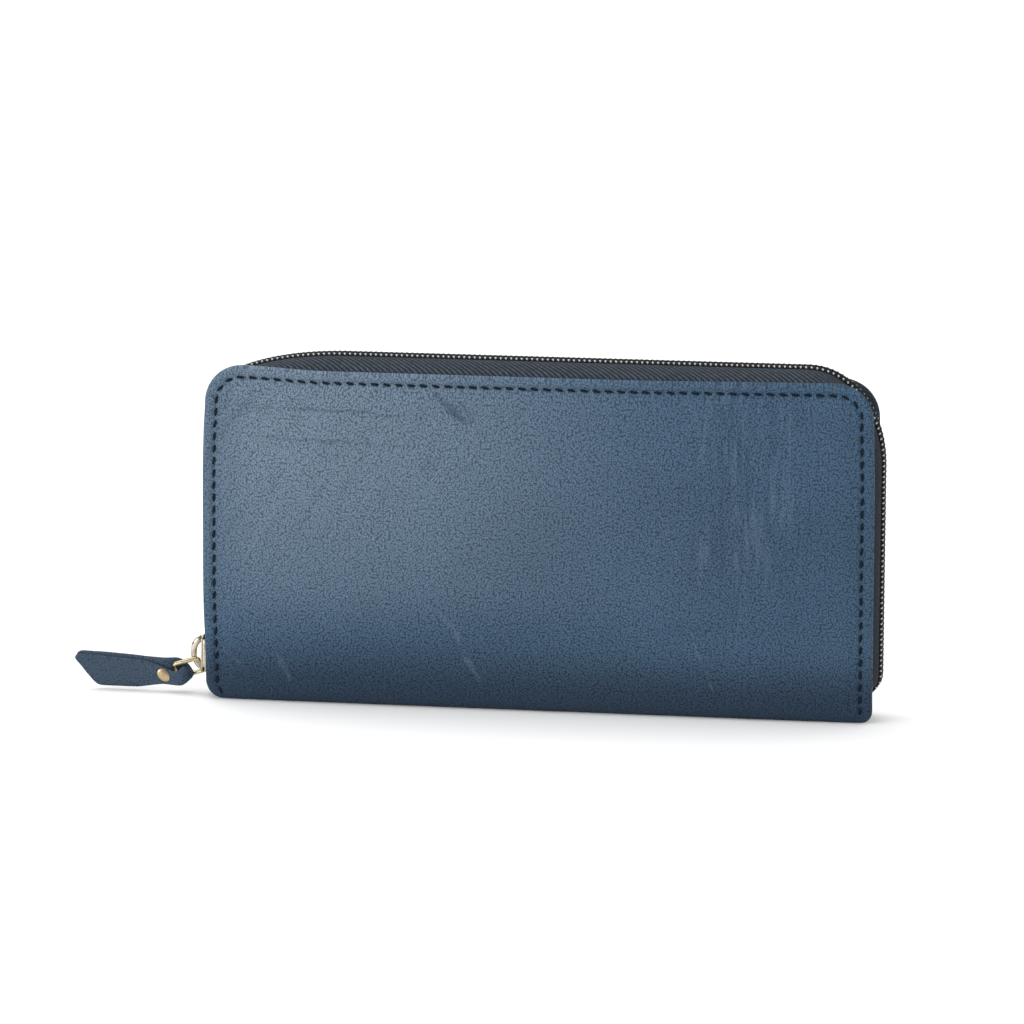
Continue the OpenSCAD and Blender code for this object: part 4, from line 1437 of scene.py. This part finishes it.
def makeRivet():
    cx = (rivetLow[0] + rivetHigh[0]) / 2 + rivet["shift"][0]
    cz = (rivetLow[2] + rivetHigh[2]) / 2 + rivet["shift"][1]
    parts = []
    for side in (-1, 1):
        face = rivet["face"]
        profile = [(0.0, rivet["dome"] + rivet["rim"])]
        for k in range(1, 9):
            angle = math.radians(90 * k / 8)
            profile.append((rivet["radius"] * math.sin(angle),
                            rivet["rim"] + rivet["dome"] * math.cos(angle) ** 0.8))
        profile.append((rivet["radius"] * 0.97, 0.0))
        profile.append((0.0, -0.2 * mm))
        sides = 28
        points, faces = [], []
        for r, h in profile:
            for s in range(sides):
                angle = 2 * math.pi * s / sides
                # pressed a little oval, its long way leaning down to the right
                u, v = 1.18 * r * math.cos(angle), 0.86 * r * math.sin(angle)
                points.append((cx + u * 0.77 + v * 0.64, side * (face + h), cz - u * 0.64 + v * 0.77))
        for k in range(len(profile) - 1):
            for s in range(sides):
                a, b = k * sides + s, k * sides + (s + 1) % sides
                faces.append((a, b, b + sides, a + sides))
        head = newPiece("rivet_head", points, faces, oldBrass)
        work = bmesh.new()
        work.from_mesh(head.data)
        bmesh.ops.remove_doubles(work, verts=work.verts, dist=1e-7)
        work.to_mesh(head.data)
        work.free()
        outward(head)
        parts.append(head)
    return joinPieces("tab_rivet_heads", parts)


rivetPiece = makeRivet()
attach(rivetPiece, "pull_tab")
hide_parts("tab_rivet")

# the coin pocket's slider and its pull, smaller than the main one
coinSliderLow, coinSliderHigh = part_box("coin_slider")
coinFrame = Matrix.Translation(((coinSliderLow[0] + coinSliderHigh[0]) / 2, 0, coinLow[2]))
coinSlider = makeSlider("coin_slider_body", coinSliderHigh[0] - coinSliderLow[0], 2.6 * mm, 2.2 * mm,
                        1.4 * mm,
                        -0.7 * mm, 0.6 * mm, 0.15 * mm, 0.6, nickel)
coinPin = Vector(joints["coin_pull_swings"]["pos_m"])
bridge = crownPiece("coin_bridge", 2.0 * mm - 0.1 * mm, 4.6 * mm, 2.0 * mm, 0.8 * mm, nickel)
coinSlider = joinPieces("coin_slider_body", [coinSlider, bridge])
moved(coinSlider, coinFrame)
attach(coinSlider, "coin_slider")
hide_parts("coin_slider")


def makeCoinPull():
    low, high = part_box("coin_pull")
    pinX, z = coinPin[0], coinPin[2]
    loop = []
    for x, y in roundOutline(1.9 * mm, 1.25 * mm, 1.0 * mm, steps=5, centre=(pinX + 1.45 * mm, 0)):
        loop.append((x, y, z))
    wireLoop = tubePiece("pull_loop", loop, 0.36 * mm, 8, nickel, closed=True)
    outline = roundOutline(2.9 * mm, 1.5 * mm, 0.9 * mm, steps=5, centre=(high[0] - 2.9 * mm, 0))
    blade = slabPiece("pull_blade", outline, z - 0.38 * mm, z + 0.38 * mm, "z", nickel, bevel=0.2 * mm)
    outward(wireLoop)
    return joinPieces("coin_pull_blade", [wireLoop, blade])


coinPull = makeCoinPull()
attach(coinPull, "coin_pull")
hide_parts("coin_pull")
hideAway(stitchMould)
print("tab and coin slider made")


finishes = {"lining": liningCloth, "stiffener": boardCard, "stops": nickel, "wall": innerLeather,
            "coin_front_tape": coinTapeCloth, "coin_back_tape": coinTapeCloth}
for name, node in frame["nodes"].items():
    for key, material in finishes.items():
        if key in name:
            node.data.materials.clear()
            node.data.materials.append(material)


def makeFloor():
    size, lift = 6.0, -0.00005
    floor = newPiece("floor", [(-size, -size, lift), (size, -size, lift), (size, size, lift),
                               (-size, size, lift)],
                     [(0, 1, 2, 3)])
    material, tree, shader, place = newMaterial("pale_floor", roughness=0.9, specular=0.1)
    paper = put(tree, "ShaderNodeTexNoise", {"Vector": place.outputs["Object"], "Scale": 40.0,
                                             "Detail": 2.0})
    wire(tree, blendColour(tree, paper.outputs[0], (0.94, 0.94, 0.94, 1), (0.95, 0.95, 0.95, 1)), shader,
         "Base Color")
    floor.data.materials.append(material)


def makeLight(name, place, target, size, power, colour=(1, 1, 1)):
    data = bpy.data.lights.new(name, "AREA")
    data.shape = "RECTANGLE"
    data.size, data.size_y = size
    data.energy = power
    data.color = colour
    light = bpy.data.objects.new(name, data)
    bpy.context.collection.objects.link(light)
    light.location = place
    light.rotation_euler = (Vector(target) - Vector(place)).to_track_quat("-Z", "Y").to_euler()


studio = {"azimuth": 9.74, "elevation": 9.52, "distance": 1.766, "lens": 213.9,
          "aim": (-0.00865, 0.0, 0.05696), "roll": 0.309,
          "world": 1.12, "mirrored": 0.55}
makeFloor()
makeLight("overhead", (-0.35, 0.30, 1.0), (-0.05, 0, 0.08), (0.9, 0.7), 4.0)
makeLight("left_front", (-1.15, -1.25, 0.45), (-0.06, 0, 0.06), (0.8, 0.6), 11.0)

world = bpy.data.worlds.new("studio")
world.use_nodes = True
tree = world.node_tree
tree.nodes.clear()
# white for the eye and for soft light; what metal and leather mirror is dimmer, darkest low in front
ray = put(tree, "ShaderNodeLightPath")
sky = put(tree, "ShaderNodeTexCoord")
parts = put(tree, "ShaderNodeSeparateXYZ", {0: sky.outputs["Generated"]})
height = remap(tree, parts.outputs[2], -0.1, 0.7, 0.12, 1.0)
mirrored = calc(tree, "MULTIPLY", height, studio["mirrored"])
level = put(tree, "ShaderNodeMix", {0: ray.outputs["Is Glossy Ray"], 2: studio["world"], 3: mirrored},
            data_type="FLOAT").outputs[0]
glow = put(tree, "ShaderNodeBackground", {"Color": (1, 1, 1, 1), "Strength": level})
put(tree, "ShaderNodeOutputWorld", {"Surface": glow.outputs[0]})
bpy.context.scene.world = world
bpy.context.scene.view_settings.view_transform = "Standard"

cameraData = bpy.data.cameras.new("camera")
cameraData.lens = studio["lens"]
cameraData.sensor_width = 36
cameraData.clip_end = 50
camera = bpy.data.objects.new("camera", cameraData)
bpy.context.collection.objects.link(camera)
azimuth, elevation = math.radians(studio["azimuth"]), math.radians(studio["elevation"])
away = Vector((math.sin(azimuth) * math.cos(elevation), -math.cos(azimuth) * math.cos(elevation),
               math.sin(elevation)))
aim = Vector(studio["aim"])
camera.location = aim + away * studio["distance"]
camera.rotation_euler = ((-away).to_track_quat("-Z", "Y").to_matrix() @ Matrix.Rotation(
    math.radians(studio["roll"]), 3, "Z")).to_euler()
bpy.context.scene.camera = camera
print("studio set")
